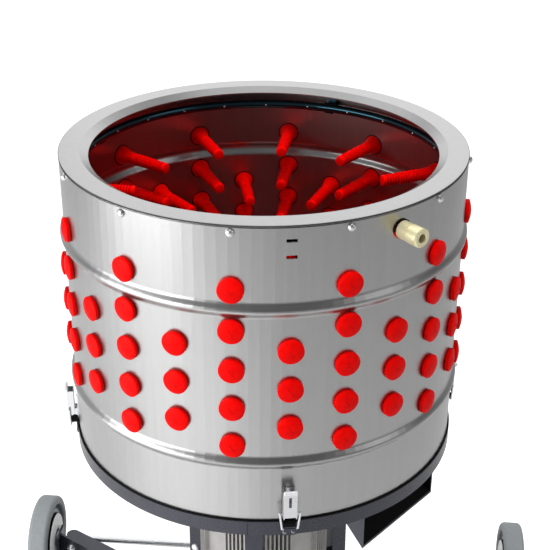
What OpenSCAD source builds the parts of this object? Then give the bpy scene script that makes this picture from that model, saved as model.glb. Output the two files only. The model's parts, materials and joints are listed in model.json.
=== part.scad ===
// Poultry plucker: a drum lined with rubber fingers over a driven finger plate, on a three legged
// stand with two transport wheels. Millimetres, +Z up, origin on the floor under the drum axis,
// front towards -Y. Bearings round the drum run from the front, -Y, towards +X.

/* [Drum] */
// Outside diameter of the drum sheet
drum_d = 500; // [490:1:520]
// Height of the drum sheet
drum_h = 380; // [360:0.5:400]
// Thickness of the drum sheet
drum_wall = 1.5; // [1:0.1:2]
// Turn of the drum's pattern against the stand
drum_turn = -2.7; // [-6:0.1:6]
// Width of the upper rolled bead
bead_upper_w = 20.5; // [16:0.5:20.5]
// Width of the lower rolled bead
bead_lower_w = 19; // [12:0.5:20]
// How far a rolled bead stands out
bead_out = 5; // [3:0.5:7]
// Distance from the last row of fingers to the lower bead
bead_drop = 24.5; // [24.5:0.5:28]
// Width of a slot in the drum
slot_w = 12; // [8:0.5:16]
// Height of a slot in the drum
slot_h = 4; // [2:0.5:4]
// Distance of the upper slot below the drum's top edge
slot_drop = 16; // [14:0.5:20]
// Distance between the two slots
slot_pitch = 19; // [14:0.5:24]

/* [Drum fingers] */
// Distance of the first row below the drum's top edge
row_drop = 74; // [68:0.5:80]
// Distance between rows
row_pitch = 50; // [48:0.5:54]
// Diameter of a finger's domed head
head_d = 30; // [26:0.5:30]
// Height of a finger's domed head
head_h = 9; // [6:0.5:12]
// Diameter of the hole for a finger
finger_hole_d = 20; // [16:0.5:21]
// Diameter of a finger's inner shoulder
shoulder_d = 26; // [24:0.5:28]
// Length of a finger from its shoulder to its tip
finger_len = 83; // [70:1:88]
// Diameter of a finger's ribs at the root
rib_root_d = 15.5; // [14:0.5:17]
// Diameter of a finger's ribs at the tip
rib_tip_d = 13.5; // [11:0.5:14]
// Number of ribs along a finger
ribs = 10; // [6:1:12]
// Depth of the groove between two ribs
rib_depth = 0.7; // [0.4:0.1:1.2]

/* [Rim and water] */
// Width of the flat of the rim
rim_flat = 25.5; // [22:0.5:30]
// Thickness of the rim sheet
rim_t = 2; // [1.5:0.1:3]
// How far the rim's lip slopes inward
lip_in = 10; // [6:0.5:12]
// How far the rim's lip slopes down
lip_down = 6.5; // [4:0.5:9]
// Depth of the rim's flange inside the drum
flange_h = 13; // [11:0.5:13.5]
// Height of the shadow groove under the rim
rim_groove = 1.4; // [0.8:0.1:1.8]
// Distance of the rim screws below the drum's top edge
screw_drop = 7; // [6:0.5:8]
// Diameter of a rim screw's head
screw_head_d = 10; // [8:0.5:11]
// Diameter of a rim screw's thread
screw_d = 5; // [4:0.5:6]
// Outside diameter of the spray tube
spray_d = 12; // [8:0.5:13]
// Gap between the spray tube and the drum
spray_gap = 11; // [9:0.5:14]
// Distance of the spray tube and the nipple below the drum's top edge
spray_drop = 26; // [25:0.5:30]
// Number of jets in the spray tube
jets = 24; // [12:1:36]
// Bearing of the water nipple in the drum's pattern
nipple_turn = 45; // [40:1:50]
// Rise of the nipple above the middle of the spray tube
nipple_rise = 2.5; // [0:0.5:3]
// Length of the water nipple outside the drum
nipple_len = 33; // [28:0.5:36]
// Diameter of the nipple's coupling end
nipple_d = 22; // [19:0.5:24]
// Diameter of the nipple's thread
nipple_thread_d = 15; // [14:0.5:16]
// Diameter of the nipple's water way
nipple_bore_d = 10; // [7:0.5:11]

/* [Base ring, tray and chute] */
// Thickness of the base ring's sheet
ring_t = 3; // [2:0.5:4]
// How far the base ring stands out from the drum
ring_out = 2.5; // [2:0.5:5]
// Height of the base ring's skirt
skirt_h = 21; // [18:0.5:24]
// Height of the rubber seal under the drum
seal_h = 2.5; // [2:0.5:5]
// Thickness of the tray
tray_t = 2; // [2:0.5:4]
// Bearing of the chute in the drum's pattern
chute_turn = 57; // [50:1:62]
// Width of the chute
chute_w = 152; // [130:1:160]
// Distance of the chute's mouth from the drum axis
chute_mouth = 230; // [226:1:236]
// Length of the chute's opening in the tray
chute_run = 72; // [60:1:80]
// Depth of the chute's mouth below the tray
chute_drop = 70; // [55:1:80]
// Thickness of the chute's sheet
chute_t = 2; // [1.5:0.1:3]

/* [Finger plate and drive] */
// Gap between the finger plate and the drum
plate_gap = 13; // [11:0.5:20]
// Thickness of the finger plate
plate_t = 4; // [3:0.5:6]
// Gap between the tray and the finger plate
plate_lift = 16; // [14:0.5:20]
// Length of a plate finger above the plate
plate_finger_len = 66; // [50:1:70]
// Diameter of the drive shaft
shaft_d = 25; // [20:1:30]
// Diameter of the motor's barrel without its fins
motor_core_d = 160; // [140:1:166]
// Height of a motor fin
motor_fin = 12; // [8:0.5:14]
// Length of the motor's barrel
motor_len = 232; // [200:1:260]
// Height of the motor's fan cowl
cowl_h = 66; // [50:1:80]
// Height of the bearing housing under the tray
housing_h = 89; // [80:1:100]
// Outside diameter of the bearing housing
housing_d = 86; // [80:1:100]

/* [Stand] */
// Height of the rubber foot under the front arm
foot_h = 44; // [40:1:46]
// Diameter of the rubber foot
foot_d = 40; // [34:1:48]
// Height of an arm
arm_h = 38; // [32:1:42]
// Width of an arm and of a post
arm_w = 22; // [18:1:26]
// Depth of a post along its arm
post_depth = 22; // [20:1:30]
// Gap between the motor's fan cowl and the arms
cowl_gap = 6.5; // [5:0.5:40]
// Distance of a post from the drum axis
post_r = 120; // [118:1:130]
// Length of a wheel arm from the drum axis to the middle of its round end
wheel_arm_len = 398; // [385:1:402]
// Diameter of the tie rod between the wheel arms
rod_d = 10; // [8:1:12]
// Distance of the tie rod below the arms' top
rod_drop = 8; // [7.5:0.5:14]
// How far the tie rod reaches past the middle of an arm's round end
rod_past = 7.3; // [4:0.1:9]

/* [Wheels] */
// Diameter of a wheel
wheel_d = 140; // [130:1:144]
// Width of a wheel
wheel_w = 32; // [26:1:36]
// Distance of a wheel's middle outside the middle of its arm's round end
wheel_out = 46.3; // [44.5:0.1:60]
// Distance of a wheel's middle behind the middle of its arm's round end
wheel_back = 3; // [1:0.5:7]
// Diameter of a wheel's hub
hub_d = 112; // [104:1:114]
// Diameter of an axle
axle_d = 12; // [10:0.5:16]
// Thickness of a wheel bracket's plate
bracket_t = 4; // [3:0.5:5]

/* [Latches] */
// Bearing of the first latch in the drum's pattern
latch_turn = 15; // [12:0.5:18]
// Width of a latch's base plate
latch_w = 13; // [12:0.2:15]
// Height of a latch's base plate
latch_plate_h = 45; // [42:1:48]
// Length of a latch lever above its pin
lever_len = 38; // [36:1:40]
// Diameter of a latch pin
latch_pin_d = 4; // [3:0.5:5]
// Distance of a latch pin from the drum
latch_pin_out = 10; // [9.8:0.1:11]
// Diameter of a bail's wire
wire_d = 2.8; // [2:0.2:3]
// Length of a bail from its pivot to its bar
bail_len = 22.5; // [22:0.5:24]
// How far a bail narrows from its pivot to its bar, on each side
bail_taper = 2.8; // [2:0.2:3.2]
// Height of a latch pin above the drum's lower edge
latch_pin_rise = 12.5; // [12:0.5:14]

/* [Fits] */
// Clearance of a pin or shaft in its bore, on the radius
run_fit = 0.06; // [0.03:0.01:0.1]
// Clearance between pieces that pass each other
pass_gap = 0.3; // [0.2:0.05:0.5]
// Clearance of a piece seated in a hole or on a curved wall
seat_gap = 0.05; // [0.02:0.01:0.1]

/* [Hidden] */
$fn = 64;

// How far a cutter passes the faces that it opens, and the lengths of the drills
over = 1;
drill_from = 2;
drill_h = 5;
rim_drill = 6;
rivet_drill = 6;
skirt_drill = 8;
finger_drill = 20;
tray_drill = 20;
long_drill = 60;
post_drill = 80;

// Rows of fingers in the two kinds of column
long_rows = 5;
short_rows = 3;

// Steps of a rounded head from its edge to its crown
dome_steps = 4;

// Radii and levels, from the floor up
bearings = [0, 120, 240];
drum_r = drum_d / 2;
drum_ri = drum_r - drum_wall;
motor_flange_t = 10;
post_len = cowl_gap + cowl_h + motor_len + motor_flange_t + housing_h;
arm_z = foot_h;
arm_top = arm_z + arm_h;
tray_z = arm_top + post_len;
ledge_z = tray_z + tray_t;
seal_z = ledge_z + ring_t;
drum_z = seal_z + seal_h;
drum_top = drum_z + drum_h;
rim_z = drum_top + rim_t;
rod_z = arm_top - rod_drop;
ring_r = drum_r + ring_out;
ring_ri = ring_r - ring_t;
skirt_z = drum_z - skirt_h;
trim_t = 1.5;
trim_z = drum_z - trim_t;
row_1 = drum_top - row_drop;
row_last = row_1 - (long_rows - 1) * row_pitch;
bead_upper_z = row_1 - row_pitch / 2;
bead_lower_z = row_last - bead_drop;
screw_z = drum_top - screw_drop;
sheet_top = drum_top - rim_groove;
spray_z = drum_top - spray_drop;
nipple_z = spray_z + nipple_rise;
spray_r = drum_ri - spray_gap - spray_d / 2;
columns = 12;
column_step = 360 / columns;
sectors = 4;
flange_r = drum_ri - seat_gap;
plate_z = ledge_z + plate_lift;
plate_top = plate_z + plate_t;
plate_r = drum_ri - plate_gap;
motor_top = tray_z - housing_h;
barrel_top = motor_top - motor_flange_t;
barrel_z = barrel_top - motor_len;
cowl_z = barrel_z - cowl_h;
motor_r = motor_core_d / 2 + motor_fin;
stay_rise = 14;
stay_z = barrel_z + stay_rise;
arm_end_x = wheel_arm_len * sin(bearings[1]);
arm_end_y = -wheel_arm_len * cos(bearings[1]);
rod_y = arm_end_y;
rod_half = arm_end_x + rod_past;
wheel_x = arm_end_x + wheel_out;
wheel_y = arm_end_y + wheel_back;
wheel_z = wheel_d / 2;
front_arm_len = wheel_y + wheel_z - foot_d / 2;
arm_hub_r = 30;
latch_step = 90;
pin_r = drum_r + latch_pin_out;
pin_z = drum_z + latch_pin_rise;
ear_t = 1.5;
lever_t = 1.4;
lever_in = latch_w / 2 + pass_gap;
lever_half = lever_in + lever_t;
lever_depth = 9;
pivot_out = 2;
pivot_rise = 5;
bar_in = 0.5;
pivot_r = pin_r + pivot_out;
pivot_z = pin_z + pivot_rise;
bar_r = pivot_r - bar_in;
bar_z = pivot_z - bail_len;
bail_out = 4;
bail_half = lever_half + bail_out;
bar_half = bail_half - bail_taper;
hook_z = bar_z + wire_d / 2 + pass_gap;

// A place on the drum's pattern, and a frame whose Z runs outward from the axis
module pattern(turn) { rotate([0, 0, drum_turn + turn]) children(); }
module outward(z) { translate([0, 0, z]) rotate([90, 0, 0]) children(); }

// A profile of radius and height, made into a plate of the given width across the drum's tangent
module across(from, to) {
    translate([(from + to) / 2, 0, 0]) rotate([90, 0, -90])
        linear_extrude(height = to - from, center = true) children();
}

module ring(r_in, r_out, z, h) {
    translate([0, 0, z]) rotate_extrude() translate([r_in, 0]) square([r_out - r_in, h]);
}

// A domed cap: flat underneath, radius r, height h, as points from the rim to the axis
function dome(r, h, base, n = 5) = [for (i = [0 : n]) [r * cos(90 * i / n), base + h * sin(90 * i / n)]];

// Finger columns of one quarter: five in one, three in the next, half a step round and half a row down
module finger_places(sector) {
    for (c = [0 : columns / sectors - 1]) rotate([0, 0, sector * 360 / sectors]) {
        pattern((c - 1) * column_step) for (i = [0 : long_rows - 1])
            outward(row_1 - i * row_pitch) children();
        pattern((c - 0.5) * column_step) for (i = [1 : short_rows])
            outward(row_1 - (i + 0.5) * row_pitch) children();
    }
}

// Ribbed shaft of a finger, from its tip up to its root, as points outside the axis
function ribbed(len, root_d, tip_d, start) = [for (i = [0 : 2 * ribs]) let (
    f = i / (2 * ribs), at = start + (len - start - tip_len) * (1 - f),
    r = tip_d / 2 + (root_d - tip_d) / 2 * f - (i % 2 == 1 ? rib_depth : 0)) [r, -at]];

// Trumpet from the ribs up to the shoulder: shares of the way along it and of the widening
trumpet = [[0.82, 0.04], [0.62, 0.14], [0.42, 0.31], [0.25, 0.54], [0.1, 0.84]];
tip_len = 4;
tip_round = 2;
tip_ease = 0.3;
ribs_from = 0.36;
shoulder_edge = 1.2;
head_ease = 0.6;
head_ease_h = 1;
head_edge = 2.2;

// One finger: tip, ribs, trumpet, shoulder, neck in the sheet and head, with 0 at the shoulder
module finger(len, neck_d, neck_h) {
    start = len * ribs_from;
    tip_r = rib_tip_d / 2;
    root_r = rib_root_d / 2;
    flare = shoulder_d / 2 - root_r;
    rotate_extrude($fn = 32) polygon(concat(
        [[0, -len], [tip_r - tip_round, -len],
         [tip_r - tip_round * tip_ease, -len + tip_round * tip_ease], [tip_r, -len + tip_round]],
        ribbed(len, rib_root_d, rib_tip_d, start),
        [for (t = trumpet) [root_r + flare * t[1], -start * t[0]]],
        [[shoulder_d / 2, -shoulder_edge], [shoulder_d / 2, 0], [neck_d / 2, 0], [neck_d / 2, neck_h],
         [head_d / 2 - head_ease, neck_h], [head_d / 2, neck_h + head_ease_h]],
        dome(head_d / 2, head_h - head_edge, neck_h + head_edge, dome_steps)));
}

// The shoulder lies against the curved sheet at its sides, the head on the sheet at its middle
shoulder_r = sqrt(pow(drum_ri, 2) - pow(shoulder_d / 2, 2)) - seat_gap;
neck_h = drum_r + seat_gap - shoulder_r;
neck_d = finger_hole_d - 2 * pass_gap;
module drum_finger() { translate([0, 0, shoulder_r]) finger(finger_len, neck_d, neck_h); }

// Half section of a rolled bead, a list moved outward and a list in the other order
function bump(z, w, out, n = 14) = [for (i = [0 : n])
    [out * (1 - cos(360 * i / n)) / 2, z - w / 2 + w * i / n]];
function shift(points, r) = [for (p = points) [p[0] + r, p[1]]];
function turned(points) = [for (i = [len(points) - 1 : -1 : 0]) points[i]];

// Rolled drum sheet with its two beads, finger holes, slots and holes for nipple, screws and rivets
module drum_shell() {
    beads = concat(bump(bead_lower_z, bead_lower_w, bead_out), bump(bead_upper_z, bead_upper_w, bead_out));
    line = concat([[0, drum_z]], beads, [[0, sheet_top]]);
    color("silver") difference() {
        rotate_extrude() polygon(concat(shift(line, drum_r), turned(shift(line, drum_ri))));
        for (q = [0 : sectors - 1]) finger_places(q)
            translate([0, 0, drum_ri - finger_drill / 2]) cylinder(d = finger_hole_d, h = finger_drill);
        screw_places() translate([0, 0, drum_ri - drill_from])
            cylinder(d = screw_d + 2 * seat_gap, h = drill_h);
        at_nipple() translate([0, 0, drum_ri - drill_from])
            cylinder(d = nipple_thread_d + 2 * seat_gap, h = drill_h);
        base_rivet_places() translate([0, 0, drum_ri - drill_from])
            cylinder(d = rivet_d + 2 * seat_gap, h = drill_h);
        for (i = [0, 1]) pattern(latch_turn) outward(drum_top - slot_drop - i * slot_pitch)
            translate([-slot_w / 2, -slot_h / 2, drum_ri - drill_from]) cube([slot_w, slot_h, drill_h]);
    }
}

module screw_places() { for (c = [0 : columns - 1]) pattern(c * column_step) outward(screw_z) children(); }

// Rim: a flat on the drum's edge, a lip that slopes into the drum and a flange inside the sheet
rim_ease = 0.4;
fold_step = 0.6;
module rim_ring() {
    fold_r = drum_r - rim_flat;
    flange_in = flange_r - rim_t;
    color("gainsboro") difference() {
        rotate_extrude() polygon([
            [drum_r - rim_ease, rim_z], [fold_r, rim_z], [fold_r - lip_in, rim_z - lip_down],
            [fold_r - lip_in, rim_z - lip_down - rim_t], [fold_r + fold_step, drum_top],
            [flange_in, drum_top], [flange_in, drum_top - flange_h], [flange_r, drum_top - flange_h],
            [flange_r, drum_top], [drum_r, drum_top], [drum_r, rim_z - rim_ease]]);
        screw_places() translate([0, 0, flange_in - drill_from])
            cylinder(d = screw_d + 2 * seat_gap, h = rim_drill);
    }
}

// Domed rim screws, their heads on the drum and their threads through sheet and flange
screw_dome = 4.2;
screw_past = 2;
module rim_screws() {
    thread = rim_t + drum_wall + screw_past;
    color("silver") screw_places() translate([0, 0, drum_r + seat_gap]) rotate_extrude($fn = 32)
        polygon(concat([[0, -thread], [screw_d / 2, -thread], [screw_d / 2, 0]],
            dome(screw_head_d / 2, screw_dome, 0, dome_steps)));
}

// Spray tube round the inside of the drum with a jet every few degrees
jet_d = 2;
module spray_ring() {
    color("dimgray") difference() {
        translate([0, 0, spray_z]) rotate_extrude() translate([spray_r, 0]) circle(d = spray_d, $fn = 32);
        for (j = [0 : jets - 1]) pattern((j + 0.5) * 360 / jets) outward(spray_z)
            translate([0, 0, spray_r - spray_d]) cylinder(d = jet_d, h = spray_d, $fn = 16);
    }
}

// Snap clips on the rim's flange that hold the spray tube from behind
clips = 4;
clip_t = 1.5;
clip_w = 12;
clip_drop = 4;
clip_shift = 2.5;
module spray_clips() {
    top = drum_top - clip_drop;
    hold_d = spray_d + 2 * clip_t;
    back = sqrt(pow(flange_r - rim_t, 2) - pow(clip_w / 2, 2)) - seat_gap;
    color("black") for (c = [0 : clips - 1]) pattern(column_step * (c * columns / clips + clip_shift))
        across(-clip_w / 2, clip_w / 2) difference() {
            union() {
                translate([spray_r, spray_z]) circle(d = hold_d, $fn = 32);
                translate([spray_r, spray_z]) square([back - spray_r, top - spray_z]);
            }
            translate([spray_r, spray_z]) circle(d = spray_d + 2 * seat_gap, $fn = 32);
            translate([spray_r - spray_d, spray_z + hold_d / 2])
                square([back - spray_r + spray_d - clip_t, top]);
            translate([spray_r - hold_d, spray_z - hold_d]) square([hold_d - spray_d / 4, 2 * hold_d]);
        }
}

module at_nipple() { pattern(nipple_turn) outward(nipple_z) children(); }

// Brass hose coupling: body, groove and coupling end, with a thread that reaches the spray tube
washer_h = 1.6;
washer_out = 0.6;
nipple_step = 0.5;
nipple_split = 0.4;
nipple_ease = 0.6;
nipple_chamfer = 1.4;
bore_chamfer = 0.8;
groove_depth = 0.7;
groove_w = 1;
groove_slope = 0.3;
groove_lip = 0.2;
module water_nipple() {
    body_r = nipple_d / 2 - nipple_step;
    groove_r = body_r - groove_depth;
    end_r = nipple_d / 2;
    bore_r = nipple_bore_d / 2;
    thread_r = nipple_thread_d / 2;
    base = drum_r + washer_h;
    end = drum_r + nipple_len;
    split = base + (end - base) * nipple_split;
    inner = spray_r + spray_d / 2 + pass_gap;
    color("goldenrod") at_nipple() rotate_extrude($fn = 48) polygon([
        [bore_r, inner], [thread_r, inner], [thread_r, base], [body_r - nipple_ease, base],
        [body_r, base + nipple_ease], [body_r, split], [groove_r, split + groove_slope],
        [groove_r, split + groove_w], [end_r - groove_slope, split + groove_w + groove_lip],
        [end_r, split + groove_w + nipple_ease], [end_r, end - nipple_chamfer], [end_r - nipple_chamfer, end],
        [bore_r + bore_chamfer, end], [bore_r, end - bore_chamfer]]);
}

// Sealing washer under the nipple's body
module nipple_seal() {
    color("firebrick") at_nipple() translate([0, 0, drum_r + seat_gap]) difference() {
        cylinder(d = nipple_d + washer_out, h = washer_h - seat_gap);
        translate([0, 0, -over]) cylinder(d = nipple_thread_d + 2 * seat_gap, h = washer_h + 2 * over);
    }
}

// Nut that draws the nipple against the sheet from inside
nut_w = 24;
nut_h = 5;
module nipple_nut() {
    nut_r = sqrt(pow(drum_ri, 2) - pow(nut_w / 2, 2)) - seat_gap;
    color("goldenrod") at_nipple() translate([0, 0, nut_r - nut_h]) difference() {
        cylinder(d = nut_w, h = nut_h, $fn = 6);
        translate([0, 0, -over]) cylinder(d = nipple_thread_d + 2 * seat_gap, h = nut_h + 2 * over);
    }
}

module fingers_front() { color("red") finger_places(0) drum_finger(); }
module fingers_right() { color("red") finger_places(1) drum_finger(); }
module fingers_back() { color("red") finger_places(2) drum_finger(); }
module fingers_left() { color("red") finger_places(3) drum_finger(); }

// Rubber seal under the drum, with a trim over the base ring's upper edge
seal_in = 5;
trim_in = 0.2;
module drum_seal() {
    color("black") rotate_extrude() polygon([
        [drum_ri - seal_in, seal_z], [ring_ri - seat_gap, seal_z], [ring_ri - seat_gap, trim_z],
        [ring_r - trim_in, trim_z], [ring_r - trim_in, drum_z], [drum_ri - seal_in, drum_z]]);
}

// Base ring: a ledge under the seal and a skirt with a butt seam
seam_turn = 3.8;
seam_w = 0.6;
seam_depth = 0.6;
ledge_in = 12;
module base_ring() {
    color("dimgray") difference() {
        rotate_extrude() polygon([
            [drum_ri - ledge_in, ledge_z], [ring_ri, ledge_z], [ring_ri, skirt_z], [ring_r, skirt_z],
            [ring_r, trim_z], [ring_ri, trim_z], [ring_ri, seal_z], [drum_ri - ledge_in, seal_z]]);
        pattern(seam_turn) translate([-seam_w / 2, -ring_r - over, skirt_z - over])
            cube([seam_w, over + seam_depth, skirt_h + 2 * over]);
        catch_rivet_places() translate([0, 0, ring_ri - drill_from])
            cylinder(d = rivet_d + 2 * seat_gap, h = skirt_drill);
    }
}

// Round tray under the drum, open over the chute and at the bearing housing
tray_hole_d = shaft_d + 30;
module base_tray() {
    color("dimgray") translate([0, 0, tray_z]) difference() {
        cylinder(r = ring_ri - seat_gap, h = tray_t);
        translate([0, 0, -over]) cylinder(d = tray_hole_d, h = tray_t + 2 * over);
        pattern(chute_turn) translate([-chute_w / 2 + chute_t, -chute_mouth + chute_t, -over])
            cube([chute_w - 2 * chute_t, chute_run - 2 * chute_t, tray_t + 2 * over]);
        translate([0, 0, -tray_z]) housing_bolt_places()
            cylinder(d = bolt_d + 2 * seat_gap, h = tray_drill, center = true);
    }
}

// Chute below the tray: two cheeks and a floor that slopes down and out to the open mouth
module chute() {
    back = chute_mouth - chute_run;
    side = [[back, tray_z], [chute_mouth, tray_z], [chute_mouth, tray_z - chute_drop]];
    slope = atan2(chute_drop, chute_run);
    color("dimgray") pattern(chute_turn) {
        across(-chute_w / 2, -chute_w / 2 + chute_t) polygon(side);
        across(chute_w / 2 - chute_t, chute_w / 2) polygon(side);
        across(-chute_w / 2, chute_w / 2) polygon([
            [back, tray_z], [back + chute_t / sin(slope), tray_z],
            [chute_mouth, tray_z - chute_drop + chute_t / cos(slope)], [chute_mouth, tray_z - chute_drop]]);
    }
}

// Latches: four round the drum, each a base on the drum and a catch on the ring
rivet_d = 3;
rivet_head_r = 2.6;
rivet_head_h = 1.1;
rivet_past = 0.5;
latch_lift = 2;
pin_boss = 0.8;
ear_blend = 3;
ear_sink = 0.2;
catch_round = 6;
plate_in = drum_r + seat_gap;
plate_out = plate_in + ear_t;
catch_in = ring_r + seat_gap;
catch_out = catch_in + ear_t;
catch_half = lever_in;
module latch_place(i) { pattern(latch_turn + i * latch_step) children(); }
module latch_places() { for (i = [0 : 3]) latch_place(i) children(); }
base_rivet_rise = [18, 34];
catch_rivet_gap = 10.2;
catch_rivet_rise = 4.4;
module base_rivet_places() {
    latch_places() for (rise = base_rivet_rise) outward(drum_z + rise) children();
}
module catch_rivets_of_one() {
    for (s = [-1, 1]) translate([s * catch_rivet_gap / 2, 0, 0])
        outward(skirt_z + catch_rivet_rise) children();
}
module catch_rivet_places() { latch_places() catch_rivets_of_one() children(); }

module latch_bases() {
    foot = drum_z + latch_lift;
    ear_mid = latch_w / 2 - ear_t / 2;
    eye_r = latch_pin_d / 2 + pin_boss;
    weld_r = plate_out - ear_sink;
    color("lightgray") latch_places() difference() {
        union() {
            across(-latch_w / 2, latch_w / 2) translate([plate_in, foot]) square([ear_t, latch_plate_h]);
            for (s = [-1, 1]) across(s * ear_mid - ear_t / 2, s * ear_mid + ear_t / 2) union() {
                translate([pin_r, pin_z]) circle(r = eye_r, $fn = 32);
                polygon([[weld_r, pin_z - eye_r - ear_blend], [weld_r, pin_z + eye_r + ear_blend],
                         [pin_r, pin_z + eye_r - ear_sink], [pin_r, pin_z - eye_r + ear_sink]]);
            }
        }
        across(-latch_w, latch_w) translate([pin_r, pin_z]) circle(d = latch_pin_d + 2 * seat_gap, $fn = 32);
        base_rivet_hole();
    }
}
module base_rivet_hole() {
    for (rise = base_rivet_rise) outward(drum_z + rise) translate([0, 0, drum_ri])
        cylinder(d = rivet_d + 2 * seat_gap, h = rivet_drill);
}

module latch_pins() {
    color("silver") latch_places() across(-lever_half, lever_half)
        translate([pin_r, pin_z]) circle(d = latch_pin_d, $fn = 32);
}

// Catch on the ring's skirt: a plate and, seated on it, a shelf that the bail's bar pulls up against
module latch_catches() {
    shelf_half = bar_half - wire_d / 2 - pass_gap;
    plate_half = bar_half + wire_d / 2;
    low = skirt_z + catch_round;
    shelf_in = catch_out + seat_gap;
    color("dimgray") latch_places() {
        difference() {
            outward(0) translate([0, 0, catch_in]) linear_extrude(height = ear_t) union() {
                translate([-plate_half, low]) square([2 * plate_half, trim_z - low]);
                translate([-plate_half + catch_round, skirt_z])
                    square([2 * (plate_half - catch_round), catch_round]);
                for (s = [-1, 1]) translate([s * (plate_half - catch_round), low])
                    circle(r = catch_round, $fn = 32);
            }
            catch_rivets_of_one() translate([0, 0, ring_r - drill_from])
                cylinder(d = rivet_d + 2 * seat_gap, h = skirt_drill);
        }
        across(-shelf_half, shelf_half) translate([shelf_in, hook_z])
            square([bar_r + wire_d / 2 - shelf_in, ear_t]);
    }
}

module rivet(face, back) {
    translate([0, 0, face]) rotate_extrude($fn = 24)
        polygon(concat([[0, back - face], [rivet_d / 2, back - face], [rivet_d / 2, 0]],
            dome(rivet_head_r, rivet_head_h, 0, 3)));
}
module latch_rivets() {
    color("silver") {
        base_rivet_places() rivet(plate_out, drum_ri - rivet_past);
        catch_rivet_places() rivet(catch_out, ring_ri - rivet_past);
    }
}

// Lever: two cheeks on the pin and a front with a slot and a curled finger tab
lever_slot_w = 3.2;
lever_slot_h = 14;
lever_slot_drop = 9;
lever_slot_cut = 6;
cheek_drop = 6;
tab_h = 4;
tab_out = 2;
tab_lip = 0.6;
module latch_lever(i) {
    face = pin_r + lever_depth / 2;
    tab = pin_z + lever_len;
    cheek = lever_in + lever_t / 2;
    wide = 2 * lever_half;
    color("gainsboro") latch_place(i) difference() {
        union() {
            for (s = [-1, 1]) across(s * cheek - lever_t / 2, s * cheek + lever_t / 2) union() {
                translate([pin_r - lever_depth / 2, pin_z]) square([lever_depth, lever_len - cheek_drop]);
                translate([pin_r, pin_z]) circle(d = lever_depth, $fn = 32);
            }
            across(-lever_half, lever_half) polygon([
                [face - lever_t, pin_z], [face, pin_z], [face, tab - tab_h], [face + tab_out, tab],
                [face + tab_out - lever_t, tab + tab_lip], [face - lever_t, tab - tab_h + tab_lip]]);
        }
        across(-wide, wide) translate([pin_r, pin_z]) circle(d = latch_pin_d + 2 * run_fit, $fn = 32);
        across(-wide, wide) translate([pivot_r, pivot_z]) circle(d = wire_d + 2 * run_fit, $fn = 32);
        outward(tab - lever_slot_h - lever_slot_drop)
            translate([-lever_slot_w / 2, 0, face - lever_slot_cut / 2])
                cube([lever_slot_w, lever_slot_h, lever_slot_cut]);
    }
}

// Bail: one wire, bent in at both ends into the lever's cheeks, with its bar under the catch
module latch_bail(i) {
    drop = [bail_taper, bar_r - pivot_r, bail_len];
    leg = norm(drop);
    eye = (lever_in + bail_half) / 2;
    eye_half = (bail_half - lever_in) / 2;
    color("silver") latch_place(i) {
        for (s = [-1, 1]) {
            across(s * eye - eye_half, s * eye + eye_half)
                translate([pivot_r, pivot_z]) circle(d = wire_d, $fn = 32);
            translate([s * bar_half, -bar_r, bar_z])
                rotate([0, acos(drop[2] / leg), atan2(drop[1], s * drop[0])])
                cylinder(d = wire_d, h = leg, $fn = 32);
            translate([s * bar_half, -bar_r, bar_z]) sphere(d = wire_d, $fn = 32);
            translate([s * bail_half, -pivot_r, pivot_z]) sphere(d = wire_d, $fn = 32);
        }
        across(-bar_half, bar_half) translate([bar_r, bar_z]) circle(d = wire_d, $fn = 32);
    }
}
module latch_lever_1() { latch_lever(0); }
module latch_lever_2() { latch_lever(1); }
module latch_lever_3() { latch_lever(2); }
module latch_lever_4() { latch_lever(3); }
module latch_bail_1() { latch_bail(0); }
module latch_bail_2() { latch_bail(1); }
module latch_bail_3() { latch_bail(2); }
module latch_bail_4() { latch_bail(3); }

// Bearing housing under the tray, with a flange for four bolts
bolt_d = 8;
bolt_head_d = 15;
bolt_head_h = 6;
bolt_edge = 13;
bush_wall = 9;
bush_r = shaft_d / 2 + bush_wall;
bolt_ring = housing_d / 2 + bolt_edge;
housing_flange = 12;
housing_ribs = 8;
rib_t = 6;
rib_out = 12;
rib_sink = 2;
module housing_bolt_places() {
    for (k = [0 : 3]) rotate([0, 0, 45 + 90 * k]) translate([bolt_ring, 0, tray_z]) children();
}
module bearing_housing() {
    color("slategray") difference() {
        union() {
            translate([0, 0, motor_top]) cylinder(d = housing_d, h = housing_h);
            translate([0, 0, tray_z - housing_flange])
                cylinder(r = bolt_ring + bolt_edge, h = housing_flange);
            translate([0, 0, motor_top]) cylinder(r = bolt_ring + bolt_edge, h = housing_flange);
            for (k = [0 : housing_ribs - 1]) rotate([0, 0, 360 / housing_ribs * (k + 0.5)])
                translate([housing_d / 2 - rib_sink, -rib_t / 2, motor_top])
                    cube([rib_out, rib_t, housing_h]);
        }
        translate([0, 0, motor_top - over]) cylinder(r = bush_r, h = housing_h + 2 * over);
        housing_bolt_places() cylinder(d = bolt_d + 2 * seat_gap, h = long_drill, center = true);
    }
}
module bearing_bush() {
    color("darkgoldenrod") translate([0, 0, motor_top]) difference() {
        cylinder(r = bush_r, h = housing_h);
        translate([0, 0, -over]) cylinder(d = shaft_d + 2 * run_fit, h = housing_h + 2 * over);
    }
}
module bolt(d, len, head_d, head_h) {
    translate([0, 0, -len]) cylinder(d = d, h = len);
    cylinder(d = head_d, h = head_h, $fn = 6);
}
module housing_bolts() {
    housing_bolt_places() translate([0, 0, -housing_flange]) mirror([0, 0, 1])
        bolt(bolt_d, housing_flange + tray_t + over, bolt_head_d, bolt_head_h);
}

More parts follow.
